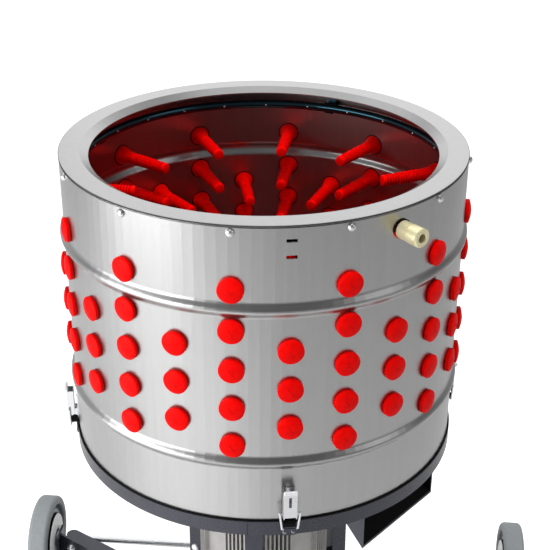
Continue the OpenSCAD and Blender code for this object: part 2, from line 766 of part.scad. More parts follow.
// Drive motor hung under the housing: flange, finned barrel, fan cowl and terminal box
flange_out = 8;
module motor_flange() {
    color("lightslategray") translate([0, 0, barrel_top]) difference() {
        cylinder(d = motor_core_d + flange_out, h = motor_flange_t);
        translate([0, 0, -over]) cylinder(r = bush_r, h = motor_flange_t + 2 * over);
    }
}
fin_groups = 4;
fins = 17;
fin_t = 2.4;
fin_step = 3.75;
fin_end = 6;
fin_sink = 4;
pad_w = 48;
pad_out = 3;
pad_depth = 20;
pad_end = 10;
module motor_barrel() {
    group_step = 360 / fin_groups;
    color("lightslategray") translate([0, 0, barrel_z]) {
        cylinder(d = motor_core_d, h = motor_len);
        for (g = [0 : fin_groups - 1], f = [0 : fins - 1])
            rotate([0, 0, group_step * g + fin_step * (f - (fins - 1) / 2)])
                translate([-fin_t / 2, -motor_r, fin_end])
                    cube([fin_t, motor_fin + fin_sink, motor_len - 2 * fin_end]);
        for (g = [0 : fin_groups - 1]) rotate([0, 0, group_step * (g + 0.5)])
            translate([-pad_w / 2, -motor_core_d / 2 - pad_out, pad_end])
                cube([pad_w, pad_depth, motor_len - 2 * pad_end]);
    }
}
cowl_in = 2;
cowl_wall = 10;
cowl_floor = 2;
cowl_round = 12;
cowl_bevel = [4, 3];
cowl_slots = 16;
cowl_slot_w = 6;
cowl_slot_r = 24;
cowl_slot_edge = 22;
module fan_cowl() {
    cowl_r = motor_r - cowl_in;
    color("dimgray") translate([0, 0, cowl_z]) difference() {
        rotate_extrude() polygon([[0, 0], [cowl_r - cowl_round, 0], [cowl_r - cowl_bevel[0], cowl_bevel[1]],
            [cowl_r, cowl_round], [cowl_r, cowl_h], [0, cowl_h]]);
        translate([0, 0, cowl_floor]) cylinder(r = cowl_r - cowl_wall, h = cowl_h - cowl_floor - cowl_wall);
        for (k = [0 : cowl_slots - 1]) rotate([0, 0, 360 / cowl_slots * k])
            translate([cowl_slot_r, -cowl_slot_w / 2, -over])
                cube([cowl_r - cowl_slot_r - cowl_slot_edge, cowl_slot_w, drill_h]);
    }
}
box_w = 84;
box_h = 96;
box_depth = 46;
box_drop = 34;
lid_t = 12;
lid_out = 2;
box_y = motor_core_d / 2 + motor_fin;
box_z = barrel_top - box_drop - box_h;
module terminal_box() {
    color("dimgray") translate([-box_w / 2, box_y, box_z]) {
        cube([box_w, box_depth - lid_t, box_h]);
        translate([-lid_out, box_depth - lid_t, -lid_out])
            cube([box_w + 2 * lid_out, lid_t, box_h + 2 * lid_out]);
    }
}
gland_w = 24;
gland_nut_h = 8;
gland_d = 18;
gland_len = 20;
gland_bore_d = 9;
gland_bore_from = 6;
module cable_gland() {
    color("black") translate([0, box_y + (box_depth - lid_t) / 2, box_z]) mirror([0, 0, 1]) difference() {
        union() {
            cylinder(d = gland_w, h = gland_nut_h, $fn = 6);
            cylinder(d = gland_d, h = gland_len);
        }
        translate([0, 0, gland_bore_from]) cylinder(d = gland_bore_d, h = gland_len);
    }
}

// Stays that hold the motor to the posts, with a domed bolt through the post and one across
stay_h = 30;
stay_bolt_d = 8;
cross_bolt_d = 6;
post_face = post_r + post_depth / 2;
post_back = post_r - post_depth / 2;
cross_in = 9;
cross_r = post_back - cross_in;
cross_head_d = 13;
stay_sink = 6;
bolt_past = 2;
module cross_places() {
    for (b = bearings) rotate([0, 0, b]) translate([arm_w / 2, -cross_r, stay_z + stay_h / 2])
        rotate([0, 90, 0]) children();
}
module motor_stays() {
    color("dimgray") difference() {
        for (b = bearings) rotate([0, 0, b]) translate([-arm_w / 2, -post_back, stay_z]) difference() {
            cube([arm_w, post_back - motor_core_d / 2 + stay_sink, stay_h]);
            translate([arm_w / 2, post_back, -over]) cylinder(r = motor_r + seat_gap, h = stay_h + 2 * over);
        }
        stay_places() translate([0, 0, cross_r]) cylinder(d = stay_bolt_d + 2 * seat_gap, h = post_depth);
        cross_places() cylinder(d = cross_bolt_d + 2 * seat_gap, h = 3 * arm_w, center = true);
    }
}
module stay_places() { for (b = bearings) rotate([0, 0, b]) outward(stay_z + stay_h / 2) children(); }
bolt_edge_h = 1;
bolt_edge_in = 0.5;
module domed_bolt(d, len, head_d) {
    rotate_extrude($fn = 32) polygon(concat(
        [[0, -len], [d / 2, -len], [d / 2, 0], [head_d / 2, 0]],
        dome(head_d / 2 - bolt_edge_in, head_d / 3, bolt_edge_h, dome_steps)));
}
module stay_bolts() {
    stay_places() translate([0, 0, post_face]) domed_bolt(stay_bolt_d, post_depth + bolt_past, bolt_head_d);
    cross_places() domed_bolt(cross_bolt_d, arm_w, cross_head_d);
}

// Finger plate on its shaft, with fingers standing on it and paddles that sweep the tray
module drive_shaft() {
    color("silver") translate([0, 0, motor_top + over])
        cylinder(d = shaft_d, h = plate_top - motor_top - over);
}
hub_lift = 3;
plate_hub_d = 96;
hub_bolt_d = 6;
hub_bolt_r = 36;
hub_bolt_past = 8;
hub_bolt_head_d = 11;
hub_bolt_head_h = 4;
module plate_hub() {
    color("slategray") translate([0, 0, ledge_z + hub_lift]) difference() {
        cylinder(d = plate_hub_d, h = plate_lift - hub_lift);
        translate([0, 0, -over]) cylinder(d = shaft_d + 2 * seat_gap, h = plate_lift);
        hub_bolt_turns() cylinder(d = hub_bolt_d + 2 * seat_gap, h = long_drill, center = true);
    }
}
module hub_bolt_turns() { for (k = [0 : 3]) rotate([0, 0, 90 * k]) translate([hub_bolt_r, 0, 0]) children(); }
finger_rings = 3;
finger_ring_r = 78;
finger_ring_step = 53;
finger_ring_count = 6;
module plate_finger_places() {
    for (f = [1 : finger_rings], k = [0 : finger_ring_count * f - 1])
        rotate([0, 0, 360 / (finger_ring_count * f) * (k + 0.5)])
            translate([finger_ring_r + finger_ring_step * (f - 1), 0, 0]) children();
}
module finger_plate() {
    color("silver") translate([0, 0, plate_z]) difference() {
        cylinder(r = plate_r, h = plate_t);
        translate([0, 0, -over]) cylinder(d = shaft_d + 2 * seat_gap, h = plate_t + 2 * over);
        translate([0, 0, -over]) plate_finger_places() cylinder(d = finger_hole_d, h = plate_t + 2 * over);
        hub_bolt_turns() cylinder(d = hub_bolt_d + 2 * seat_gap, h = long_drill, center = true);
    }
}
module plate_fingers() {
    color("red") plate_finger_places() translate([0, 0, plate_top + seat_gap]) mirror([0, 0, 1])
        finger(plate_finger_len, neck_d, plate_t + 2 * seat_gap);
}
paddle_t = 4;
paddle_len = 26;
paddle_flap = 16;
paddle_flap_t = 3;
paddle_in = 4;
module plate_paddles() {
    color("dimgray") for (b = bearings) rotate([0, 0, b]) {
        translate([-paddle_t / 2, -plate_r + paddle_in, ledge_z + hub_lift])
            cube([paddle_t, paddle_len, plate_lift - hub_lift]);
        translate([-paddle_t / 2, -plate_r + paddle_in, plate_z - paddle_flap_t])
            cube([paddle_flap, paddle_len, paddle_flap_t]);
    }
}
cap_r = 28;
cap_h = 15;
cap_edge = 3;
module hub_cap() {
    color("silver") translate([0, 0, plate_top]) rotate_extrude()
        polygon(concat([[0, 0], [cap_r, 0]], dome(cap_r, cap_h, cap_edge, 6)));
}
module hub_bolts() {
    color("silver") hub_bolt_turns() translate([0, 0, plate_top])
        bolt(hub_bolt_d, plate_t + hub_bolt_past, hub_bolt_head_d, hub_bolt_head_h);
}

// Stand: three posts on three arms that meet at a hub, a front foot and two wheel brackets
post_wall = 2.5;
module post(b) {
    color("dimgray") rotate([0, 0, b]) translate([0, -post_r, arm_top]) difference() {
        translate([-arm_w / 2, -post_depth / 2, 0]) cube([arm_w, post_depth, post_len]);
        translate([-arm_w / 2 + post_wall, -post_depth / 2 + post_wall, -over])
            cube([arm_w - 2 * post_wall, post_depth - 2 * post_wall, post_len + 2 * over]);
        outward(stay_z + stay_h / 2 - arm_top)
            cylinder(d = stay_bolt_d + 2 * seat_gap, h = post_drill, center = true);
    }
}
module post_front() { post(bearings[0]); }
module post_right() { post(bearings[1]); }
module post_left() { post(bearings[2]); }
module arm_shape(len) {
    translate([-arm_w / 2, -len]) square([arm_w, len - arm_hub_r]);
    translate([0, -len]) circle(d = arm_w);
}
module arm(b, len) {
    rotate([0, 0, b]) translate([0, 0, arm_z]) linear_extrude(height = arm_h) arm_shape(len);
}
module arm_front() { color("dimgray") arm(bearings[0], front_arm_len); }
module arm_right() { color("dimgray") wheel_arm() arm(bearings[1], wheel_arm_len); }
module arm_left() { color("dimgray") mirror([1, 0, 0]) wheel_arm() arm(bearings[1], wheel_arm_len); }
arm_drill = 20;
module wheel_arm() {
    difference() {
        children();
        bracket_bolt_places() translate([0, 0, -arm_drill])
            cylinder(d = stay_bolt_d + 2 * seat_gap, h = 3 * arm_drill);
        at_rod() cylinder(d = rod_d + 2 * seat_gap, h = 2 * rod_half + 2 * seat_gap, center = true);
    }
}
module arm_hub() {
    color("dimgray") translate([0, 0, arm_z]) cylinder(r = arm_hub_r / cos(30), h = arm_h, $fn = 6);
}
foot_ease = 2;
foot_taper = 5;
module front_foot() {
    color("black") translate([0, -front_arm_len, 0]) rotate_extrude()
        polygon([[0, 0], [foot_d / 2 - foot_ease, 0], [foot_d / 2, foot_ease],
            [foot_d / 2 - foot_taper, foot_h], [0, foot_h]]);
}
module at_rod() { translate([0, rod_y, rod_z]) rotate([0, 90, 0]) children(); }
module tie_rod() { color("silver") at_rod() cylinder(d = rod_d, h = 2 * rod_half, center = true); }

// Wheel bracket: a plate folded from the side of the arm to the wheel's inner face
wheel_clear = 5;
bracket_x = wheel_x - wheel_w / 2 - wheel_clear - bracket_t;
bracket_foot = 2;
bracket_head = 1;
bracket_low = arm_z + bracket_foot;
bracket_high = arm_top + bracket_head;
tab_r = bracket_high - wheel_z;
tab_from = 16;
tab_sink = 6;
tab_run = 40;
bracket_bolt_from_end = 8;
bracket_bolt_pitch = 34;
bracket_bolt_share = 0.56;
bracket_drill = 10;
bracket_along = 85;
bracket_past = 60;
module bracket_bolt_places() {
    for (k = [0, 1]) rotate([0, 0, bearings[1]])
        translate([-arm_w / 2, -wheel_arm_len + bracket_bolt_from_end + bracket_bolt_pitch * k,
                   arm_z + arm_h * bracket_bolt_share])
            rotate([0, -90, 0]) children();
}
module bracket() {
    reach = bracket_x - (wheel_arm_len - bracket_along) * sin(bearings[1]);
    height = bracket_high - bracket_low;
    difference() {
        union() {
            translate([0, 0, bracket_low]) linear_extrude(height = height) intersection() {
                rotate(bearings[1]) translate([-arm_w / 2 - bracket_t, -wheel_arm_len - bracket_past])
                    square([bracket_t, bracket_along + bracket_past]);
                translate([bracket_x - reach, 0]) square([reach + bracket_t, wheel_y + bracket_past]);
            }
            translate([bracket_x, wheel_y - tab_from, wheel_z]) rotate([0, 90, 0])
                linear_extrude(height = bracket_t) union() {
                    translate([wheel_z - bracket_high, -tab_sink]) square([height, tab_run]);
                    translate([0, tab_from]) circle(r = tab_r);
                }
        }
        translate([bracket_x - wheel_clear, wheel_y, wheel_z]) rotate([0, 90, 0])
            cylinder(d = axle_d + 2 * seat_gap, h = 2 * bracket_drill);
        bracket_bolt_places() translate([0, 0, -bracket_drill])
            cylinder(d = stay_bolt_d + 2 * seat_gap, h = 3 * bracket_drill);
    }
}
module bracket_right() { color("dimgray") bracket(); }
module bracket_left() { color("dimgray") mirror([1, 0, 0]) bracket(); }
bracket_bolt_len = 18;
module bracket_bolts() {
    for (side = [0, 1]) mirror([side, 0, 0]) bracket_bolt_places() translate([0, 0, bracket_t])
        domed_bolt(stay_bolt_d, bracket_bolt_len, bolt_head_d);
}

// All bolts of the stand and the drive
module stand_bolts() {
    color("silver") {
        housing_bolts();
        stay_bolts();
        bracket_bolts();
    }
}

// Axles: a stub through the bracket with a collar inside the wheel and a domed nut outside it
module at_wheel(side) { translate([side * wheel_x, wheel_y, wheel_z]) rotate([0, side * 90, 0]) children(); }
hub_in = 1;
hub_half = wheel_w / 2 - hub_in;
collar = 5;
nut_r = 10;
nut_edge = 3;
nut_dome = 6;
module axles() {
    inner = bracket_x - wheel_x;
    nut = hub_half + pass_gap;
    stub_r = axle_d / 2;
    color("silver") for (side = [-1, 1]) at_wheel(side) rotate_extrude($fn = 48) polygon(concat(
        [[0, inner], [stub_r, inner], [stub_r, inner + bracket_t], [stub_r + collar, inner + bracket_t],
         [stub_r + collar, -nut], [stub_r, -nut], [stub_r, nut], [nut_r, nut]],
        dome(nut_r, nut_dome, nut + nut_edge, dome_steps)));
}
tyre_round = 6;
tyre_ease = 2;
module tyre(side) {
    half = wheel_w / 2;
    arc = [for (i = [0 : 5]) 90 * i / 5];
    color("gray") at_wheel(side) rotate_extrude() polygon(concat(
        [[hub_d / 2, -half + tyre_ease], [hub_d / 2 + tyre_ease, -half]],
        [for (a = arc) [wheel_z - tyre_round * (1 - sin(a)), -half + tyre_round * (1 - cos(a))]],
        [for (a = arc) [wheel_z - tyre_round * (1 - cos(a)), half - tyre_round * (1 - sin(a))]],
        [[hub_d / 2 + tyre_ease, half], [hub_d / 2, half - tyre_ease]]));
}
disc_edge = 7;
disc_r = hub_d / 2 - disc_edge;
disc_in = 5;
disc_ease = 1;
rim_half = 5;
boss_r = 15;
module wheel_hub(side) {
    face = wheel_w / 2 - disc_in;
    bore = axle_d / 2 + run_fit;
    side_line = [[boss_r, hub_half], [boss_r, face], [disc_r - disc_ease, face],
                 [disc_r, face - disc_ease], [disc_r, rim_half], [hub_d / 2, rim_half]];
    color("lightgray") at_wheel(side) rotate_extrude() polygon(concat(
        [[bore, hub_half]], side_line, [for (p = turned(side_line)) [p[0], -p[1]]], [[bore, -hub_half]]));
}
module tyre_right() { tyre(1); }
module tyre_left() { tyre(-1); }
module wheel_hub_right() { wheel_hub(1); }
module wheel_hub_left() { wheel_hub(-1); }

drum_shell();
rim_ring();
rim_screws();
spray_ring();
spray_clips();
water_nipple();
nipple_seal();
nipple_nut();
fingers_front();
fingers_right();
fingers_back();
fingers_left();
drum_seal();
base_ring();
base_tray();
chute();
latch_bases();
latch_pins();
latch_catches();
latch_rivets();
latch_lever_1();
latch_lever_2();
latch_lever_3();
latch_lever_4();
latch_bail_1();
latch_bail_2();
latch_bail_3();
latch_bail_4();
bearing_housing();
bearing_bush();
motor_flange();
motor_barrel();
fan_cowl();
terminal_box();
cable_gland();
motor_stays();
stand_bolts();
drive_shaft();
plate_hub();
finger_plate();
plate_fingers();
plate_paddles();
hub_cap();
hub_bolts();
post_front();
post_right();
post_left();
arm_front();
arm_right();
arm_left();
arm_hub();
front_foot();
tie_rod();
bracket_right();
bracket_left();
axles();
tyre_right();
wheel_hub_right();
tyre_left();
wheel_hub_left();
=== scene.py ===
"""Looks of the poultry plucker: finishes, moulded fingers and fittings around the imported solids."""
import json
import math

import bmesh
import bpy
from mathutils import Matrix, Vector


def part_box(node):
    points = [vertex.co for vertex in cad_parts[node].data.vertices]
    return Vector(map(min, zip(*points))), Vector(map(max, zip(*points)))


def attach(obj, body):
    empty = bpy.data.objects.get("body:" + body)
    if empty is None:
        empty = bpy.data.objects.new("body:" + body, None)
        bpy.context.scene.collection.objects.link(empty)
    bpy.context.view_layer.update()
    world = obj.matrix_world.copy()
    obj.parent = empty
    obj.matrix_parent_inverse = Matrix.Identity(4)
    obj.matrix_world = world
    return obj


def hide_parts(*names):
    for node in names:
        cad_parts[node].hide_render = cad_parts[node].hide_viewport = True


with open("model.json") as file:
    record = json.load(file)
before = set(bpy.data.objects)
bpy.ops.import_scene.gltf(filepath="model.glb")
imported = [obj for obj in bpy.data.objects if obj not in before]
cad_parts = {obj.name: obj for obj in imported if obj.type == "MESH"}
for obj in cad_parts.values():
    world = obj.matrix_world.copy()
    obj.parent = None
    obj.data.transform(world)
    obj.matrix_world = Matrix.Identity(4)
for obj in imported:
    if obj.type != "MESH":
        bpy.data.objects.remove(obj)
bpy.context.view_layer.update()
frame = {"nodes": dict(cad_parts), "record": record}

MM = 0.001

# The drum as packed: the height of its rim, and the turn of its finger columns about the axis
RIM_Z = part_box("rim_ring")[1].z
DRUM_TURN = math.radians(-2.7)

# Upright flats that the press left in the drum's sheet, and their shifts above and below the upper bead
FLAT_STEP = math.radians(2.903)
FLAT_DISH = 1.15
FLAT_SHIFT_HIGH = -(math.radians(2.25) + DRUM_TURN) / FLAT_STEP
FLAT_SHIFT_LOW = -(math.radians(1.3) + DRUM_TURN) / FLAT_STEP
BEAD_Z, BEAD_BLEND = 0.774, 0.01

# Where the photograph was taken from, as bearings from the drum's front towards the right
PHOTO_SIDE = 550
CAMERA_BEARING = math.radians(5.498)
CAMERA_DISTANCE = 1369.35 * MM
CAMERA_ABOVE_RIM = 506.5 * MM
CAMERA_PITCH = math.radians(26.7234)
CAMERA_PAN = math.radians(0.602)
CAMERA_ROLL = math.radians(0.3416)
CAMERA_REACH = 50
FOCAL_PIXELS = 1181.05
SENSOR_MM = 36.0

# How metal mirrors the studio, by the direction it looks in: the axis, where the change begins and
# ends along it, and the strength at both ends; "aside" is the distance to either side
ROOM_GRADES = {
    "sweep": ("Y", 0.0, 0.75, 0.0, 1.0),
    "wide": ("aside", 0.62, 0.34, 0.25, 1.0),
    "left": ("X", 0.3, -0.8, 0.4, 0.8),
    "low": ("Z", 0.35, -0.05, 0.36, 1.0),
    "ceiling": ("Z", 0.82, 0.96, 0.0, 1.12),
}

# Windows of the studio: direction, strength, and how near the direction their light begins and is full
WINDOWS = (((0.84, -0.24, 0.487), 1.1, 0.94, 0.985), ((-0.46, 0.4, 0.79), 1.25, 0.91, 0.98))

# What the surroundings give to matt surfaces
ROOM_LIGHT = 0.45

# Soft lights: name, place, width, height, power and whether metal mirrors them
LIGHT_TARGET = (0, 0, 0.68)
LIGHTS = (("key_left", (-2.05, -1.35, 0.95), 2.2, 1.7, 57, True),
          ("overhead", (0.1, -0.3, 3.0), 1.2, 1.2, 51, False),
          ("sweep_back", (0.1, 2.6, 1.9), 2.4, 1.2, 4.5, True))

# The paper floor: how bright the camera sees it, and how strongly it glows as painted reflection seen
# only in metal, at its middle, its right and a spot near the left
FLOOR_HALF = 9.0
FLOOR_GLOW = 0.67
FLOOR_MIDDLE, FLOOR_RIGHT, FLOOR_SPOT = 0.125, 0.0, 0.5
FLOOR_SIDE_FROM, FLOOR_SIDE_TO = -0.3, 0.7
SPOT_PLACE, SPOT_EDGE, SPOT_FULL = (-0.6, -0.95, 0.0), 0.95, 0.2

# Where the two tones of a ramp begin and end on their pattern
TONE_STOPS = (0.35, 0.65)

# All further sizes are in millimetres. The drum's fingers and their places
DRUM_R = 250.0
COLUMN_STEP, QUARTER_COLUMNS = 30.0, 3
ROW_1, ROW_PITCH = 799.0, 50.0
LONG_ROWS, SHORT_ROWS = 5, 3
FINGER_LEN, PLATE_FINGER_LEN = 83.0, 66.0
FINGER_TURNS = 28
TIP_LINE = ((2.2, 0.0), (0.7, 0.6), (0.0, 2.2))
TIP_POINTS = len(TIP_LINE) + 1
TIP_PLAIN = 4.0
RIB_ROOT_R, RIB_TIP_R = 8.3, 7.3
RIB_COUNT, RIB_DEPTH = 13, 1.5
RIB_LINE = ((0.0, 0.0), (0.5, 0.0), (0.76, 1.0))
RIB_START = 0.36
WAIST_R = RIB_ROOT_R - 0.9
FLARE_STEPS, FLARE_STRAIGHT, FLARE_POWER = 10, 0.35, 3.2
SHOULDER_R, SHOULDER_HALF, SHOULDER_EDGE = 248.06, 13.0, 1.4
SHOULDER_LINE = ((0.0, -1.0), (0.0, -0.3), (0.4, 0.0))
NECK_R, NECK_H, PLATE_NECK_H = 9.7, 1.99, 4.1
HEAD_R, HEAD_H = 15.0, 7.8
HEAD_UNDER = ((0.9, 0.0), (0.25, 0.4), (0.0, 1.1))
HEAD_EDGE, EDGE_ROUND = 4.4, 0.7
HEAD_CROWN, CROWN_STEPS = HEAD_H - HEAD_EDGE - EDGE_ROUND, 6

# Parting marks on the heads, and thin black rings under the shoulders, which are painted shade where each
# shoulder meets the wall
MARK_WAY, MARK_ACROSS = Vector((0.6, -0.8, 0)), Vector((0.8, 0.6, 0))
MARK_HALF, MARK_STEPS = 4.8, 8
MARK_LINE = ((-0.32, -0.2), (-0.2, 0.12), (0.2, 0.12), (0.32, -0.2))
SHOULDER_SHADE_LINE = ((0.02, -0.3), (1.3, -0.1), (1.3, 0.4), (0.02, 0.4))
SHOULDER_SHADE_TURNS = 28

# The finger plate: its top, and the radius and number of each ring of fingers
PLATE_TOP, PLATE_GAP = 507.5, 0.05
PLATE_RINGS = ((78.0, 6), (131.0, 12), (184.0, 18))

# The chute's inner faces and the black sheets on them, which are painted shade of the chute's dark inside
CHUTE_TURN, CHUTE_HALF = 57.0, 73.95
CHUTE_BACK, CHUTE_MOUTH = 160.87, 229.4
CHUTE_TOP, CHUTE_LOW = 485.3, 418.9
CHUTE_SLOPE_TOP = 485.5
CHUTE_SHADE_T, CHUTE_SHADE_LOW, CHEEK_IN = 0.4, 0.1, 1.0

# The nipple's split black ring, whose lip over the seal's upper side is painted shade, and the nozzles in the
# spray tube
NIPPLE_TURN = 45.0
RING_FROM, RING_TO, RING_STEPS = -60.0, 185.0, 36
RING_LINE = ((11.33, 0.15), (11.75, 0.15), (11.75, 1.9), (10.65, 1.95), (10.65, 1.6), (11.33, 1.6))
JET_COUNT, JET_TURNS = 24, 16
JET_Z, JET_FACE_R = 847.0, 225.6
JET_LINE = ((0.0, -0.6), (1.3, -0.6), (1.3, 0.5), (1.0, 0.9), (0.5, 1.1), (0.0, 1.15))

# A dark band over the rim's outer edge, which is painted shade of the joint under the rim, from the drum's
# wall and the rim's top; and black sealant in the base ring's seam
RIM_SHADE_LINE = ((0.02, -1.85), (0.25, -1.65), (0.25, -0.45), (0.02, -0.25))
RIM_SHADE_TURNS = 180
SEAM_TURN, SEAM_HALF = 3.8, 0.28
SEAM_IN, SEAM_OUT, SEAM_LOW, SEAM_HIGH = 251.95, 252.45, 472.2, 491.3

# Wheel covers and their gaskets, from the wheel's middle plane
COVER_R, COVER_HOLE, COVER_TURNS = 40.5, 15.6, 72
COVER_BACK, COVER_EDGE, COVER_FACE = 11.05, 16.2, 17.4
COVER_EASE, COVER_FLAT = 0.8, 5.0
GASKET_IN, GASKET_OUT = 0.05, 1.2
GASKET_FACE_IN, GASKET_FACE_OUT = 0.9, 1.2

# Latches: the black block behind each catch, which is painted shade under the lever, the sleeve on each
# bail's bar and the roll on each lever, drawn as a painted highlight
LATCH_TURN, LATCHES = 15.0, 4
BLOCK_IN, BLOCK_OUT, BLOCK_HALF = 252.8, 262.2, 7.0
BLOCK_LOW, BLOCK_HIGH, BLOCK_EASE = 491.3, 498.6, 1.2
SLEEVE_R, SLEEVE_HALF, SLEEVE_EASE, SLEEVE_TURNS = 1.66, 7.4, 0.3, 24
BAR_R, BAR_Z = 261.5, 488.0
ROLL_R, ROLL_HALF, ROLL_EASE, ROLL_TURNS = 2.65, 7.9, 0.4, 32
ROLL_AT, ROLL_Z = 265.2, 541.6

# The bolt on the left post
POST_BOLT_TURN, POST_BOLT_Z = math.radians(-30.0), 194.0
POST_BOLT_R, POST_BOLT_H, POST_BOLT_EDGE, POST_BOLT_GAP = 6.3, 4.6, 1.2, 0.03
POST_BOLT_TURNS, DOME_STEPS = 32, 7

# Edges sharper than this stay crisp on a smooth piece
CRISP_EDGE = math.radians(32)

# A turned profile's point this near the axis lies on it
ON_AXIS = 1e-6


def linear(hex_colour):
    """sRGB hex to linear RGBA."""
    values = [int(hex_colour[i:i + 2], 16) / 255 for i in (1, 3, 5)]
    return [v / 12.92 if v <= 0.04045 else ((v + 0.055) / 1.055) ** 2.4 for v in values] + [1.0]


def grey(value):
    """A linear grey."""
    return [value, value, value, 1.0]


def per_mm(size):
    """Noise scale for features of this size in millimetres."""
    return 1.0 / (size * MM)


def feed(tree, node, feeds):
    """Gives a node's sockets what feeds them: another node's output, or a value."""
    for name, source in feeds.items():
        if isinstance(source, bpy.types.NodeSocket):
            tree.links.new(source, node.inputs[name])
        else:
            node.inputs[name].default_value = source


def add(tree, kind, feeds=None, tones=None, **settings):
    """One node with its settings, what feeds its sockets, and a ramp's two tones."""
    made = tree.nodes.new(kind)
    for name, value in settings.items():
        setattr(made, name, value)
    feed(tree, made, feeds or {})
    if tones:
        for stop, place, tone in zip(made.color_ramp.elements, TONE_STOPS, tones):
            stop.position, stop.color = place, tone
    return made


def new_material(name):
    """An empty material with its tree, its shader and object coordinates in metres."""
    made = bpy.data.materials.new(name)
    made.use_nodes = True
    tree = made.node_tree
    shader = tree.nodes["Principled BSDF"]
    place = add(tree, "ShaderNodeTexCoord").outputs["Object"]
    return made, tree, shader, place


def pressed_flats(tree, place):
    """Normals of a wall bent in narrow steps: each upright flat is dished a little, so its edges show."""
    axes = add(tree, "ShaderNodeSeparateXYZ", {"Vector": place}).outputs
    front = add(tree, "ShaderNodeMath", {0: axes["Y"], 1: -1.0}, operation="MULTIPLY")
    bearing = add(tree, "ShaderNodeMath", {0: axes["X"], 1: front.outputs[0]}, operation="ARCTAN2")
    shift = add(tree, "ShaderNodeMapRange", {
        "Value": axes["Z"], "From Min": BEAD_Z - BEAD_BLEND, "From Max": BEAD_Z,
        "To Min": FLAT_SHIFT_LOW, "To Max": FLAT_SHIFT_HIGH})
    steps = add(tree, "ShaderNodeMath", {0: bearing.outputs[0], 1: 1 / FLAT_STEP, 2: shift.outputs[0]},
                operation="MULTIPLY_ADD")
    within = add(tree, "ShaderNodeMath", {0: steps.outputs[0]}, operation="FRACT")
    dish = FLAT_DISH * FLAT_STEP / 2
    turn = add(tree, "ShaderNodeMapRange", {"Value": within.outputs[0], "To Min": dish, "To Max": -dish})
    normal = add(tree, "ShaderNodeNewGeometry").outputs["Normal"]
    return add(tree, "ShaderNodeVectorRotate", {"Vector": normal, "Angle": turn.outputs[0]},
               rotation_type="Z_AXIS").outputs[0]


def stainless_sheet():
    """304 stainless, cold rolled to a dull 2B finish: soft broad reflections, faint upright rolling streaks.
    The grain is drawn coarser than the real one, so that it shows."""
    made, tree, shader, place = new_material("stainless_sheet_2B_rolled")
    drawn_out = add(tree, "ShaderNodeMapping", {"Vector": place, "Scale": (1.0, 1.0, 0.06)}).outputs["Vector"]
    streaks = add(tree, "ShaderNodeTexNoise", {
        "Vector": drawn_out, "Scale": per_mm(9.0), "Detail": 4.0, "Roughness": 0.6}).outputs["Fac"]
    grain = add(tree, "ShaderNodeTexNoise", {
        "Vector": place, "Scale": per_mm(1.8), "Detail": 3.0}).outputs["Fac"]
    tone = add(tree, "ShaderNodeValToRGB", {"Fac": streaks}, (linear("#acacac"), linear("#afafaf")))
    rough = add(tree, "ShaderNodeValToRGB", {"Fac": grain}, (grey(0.285), grey(0.315)))
    bump = add(tree, "ShaderNodeBump", {
        "Height": grain, "Normal": pressed_flats(tree, place), "Strength": 0.02, "Distance": 0.02 * MM})
    feed(tree, shader, {"Base Color": tone.outputs["Color"], "Roughness": rough.outputs["Color"],
                        "Normal": bump.outputs["Normal"], "Metallic": 1.0})
    return made


def plated_metal(name, low, high, rough_low, rough_high, spot):
    """Plated or polished metal with a slight change of gloss over its surface."""
    made, tree, shader, place = new_material(name)
    cloud = add(tree, "ShaderNodeTexNoise", {
        "Vector": place, "Scale": per_mm(spot), "Detail": 3.0}).outputs["Fac"]
    tone = add(tree, "ShaderNodeValToRGB", {"Fac": cloud}, (linear(low), linear(high)))
    rough = add(tree, "ShaderNodeValToRGB", {"Fac": cloud}, (grey(rough_low), grey(rough_high)))
    feed(tree, shader, {"Base Color": tone.outputs["Color"], "Roughness": rough.outputs["Color"],
                        "Metallic": 1.0})
    return made


def moulded_rubber(name, low, high, rough, gloss, pore):
    """Moulded rubber: a dense colour, a soft broad highlight and a fine skin, whose pores are drawn
    coarser than the real ones, so that they show."""
    made, tree, shader, place = new_material(name)
    cloud = add(tree, "ShaderNodeTexNoise", {"Vector": place, "Scale": per_mm(pore * 8), "Detail": 2.0})
    skin = add(tree, "ShaderNodeTexNoise", {"Vector": place, "Scale": per_mm(pore), "Detail": 2.0})
    tone = add(tree, "ShaderNodeValToRGB", {"Fac": cloud.outputs["Fac"]}, (linear(low), linear(high)))
    bump = add(tree, "ShaderNodeBump", {
        "Height": skin.outputs["Fac"], "Strength": 0.12, "Distance": 0.05 * MM})
    feed(tree, shader, {"Base Color": tone.outputs["Color"], "Normal": bump.outputs["Normal"],
                        "Roughness": rough, "Specular IOR Level": gloss, "IOR": 1.5})
    return made


def coated(name, low, high, rough, peel, bump_strength, ior=1.5, metallic=0.0, tint="#ffffff"):
    """Powder coat, lacquer, cast skin or moulded plastic: an orange peel or grain of the given size."""
    made, tree, shader, place = new_material(name)
    skin = add(tree, "ShaderNodeTexNoise", {
        "Vector": place, "Scale": per_mm(peel), "Detail": 2.0}).outputs["Fac"]
    cloud = add(tree, "ShaderNodeTexNoise", {
        "Vector": place, "Scale": per_mm(peel * 20), "Detail": 3.0}).outputs["Fac"]
    tone = add(tree, "ShaderNodeValToRGB", {"Fac": cloud}, (linear(low), linear(high)))
    gloss = add(tree, "ShaderNodeValToRGB", {"Fac": skin}, (grey(rough - 0.05), grey(rough + 0.05)))
    bump = add(tree, "ShaderNodeBump", {"Height": skin, "Strength": bump_strength, "Distance": 0.08 * MM})
    feed(tree, shader, {"Base Color": tone.outputs["Color"], "Roughness": gloss.outputs["Color"],
                        "Normal": bump.outputs["Normal"], "IOR": ior, "Specular Tint": linear(tint),
                        "Metallic": metallic})
    return made


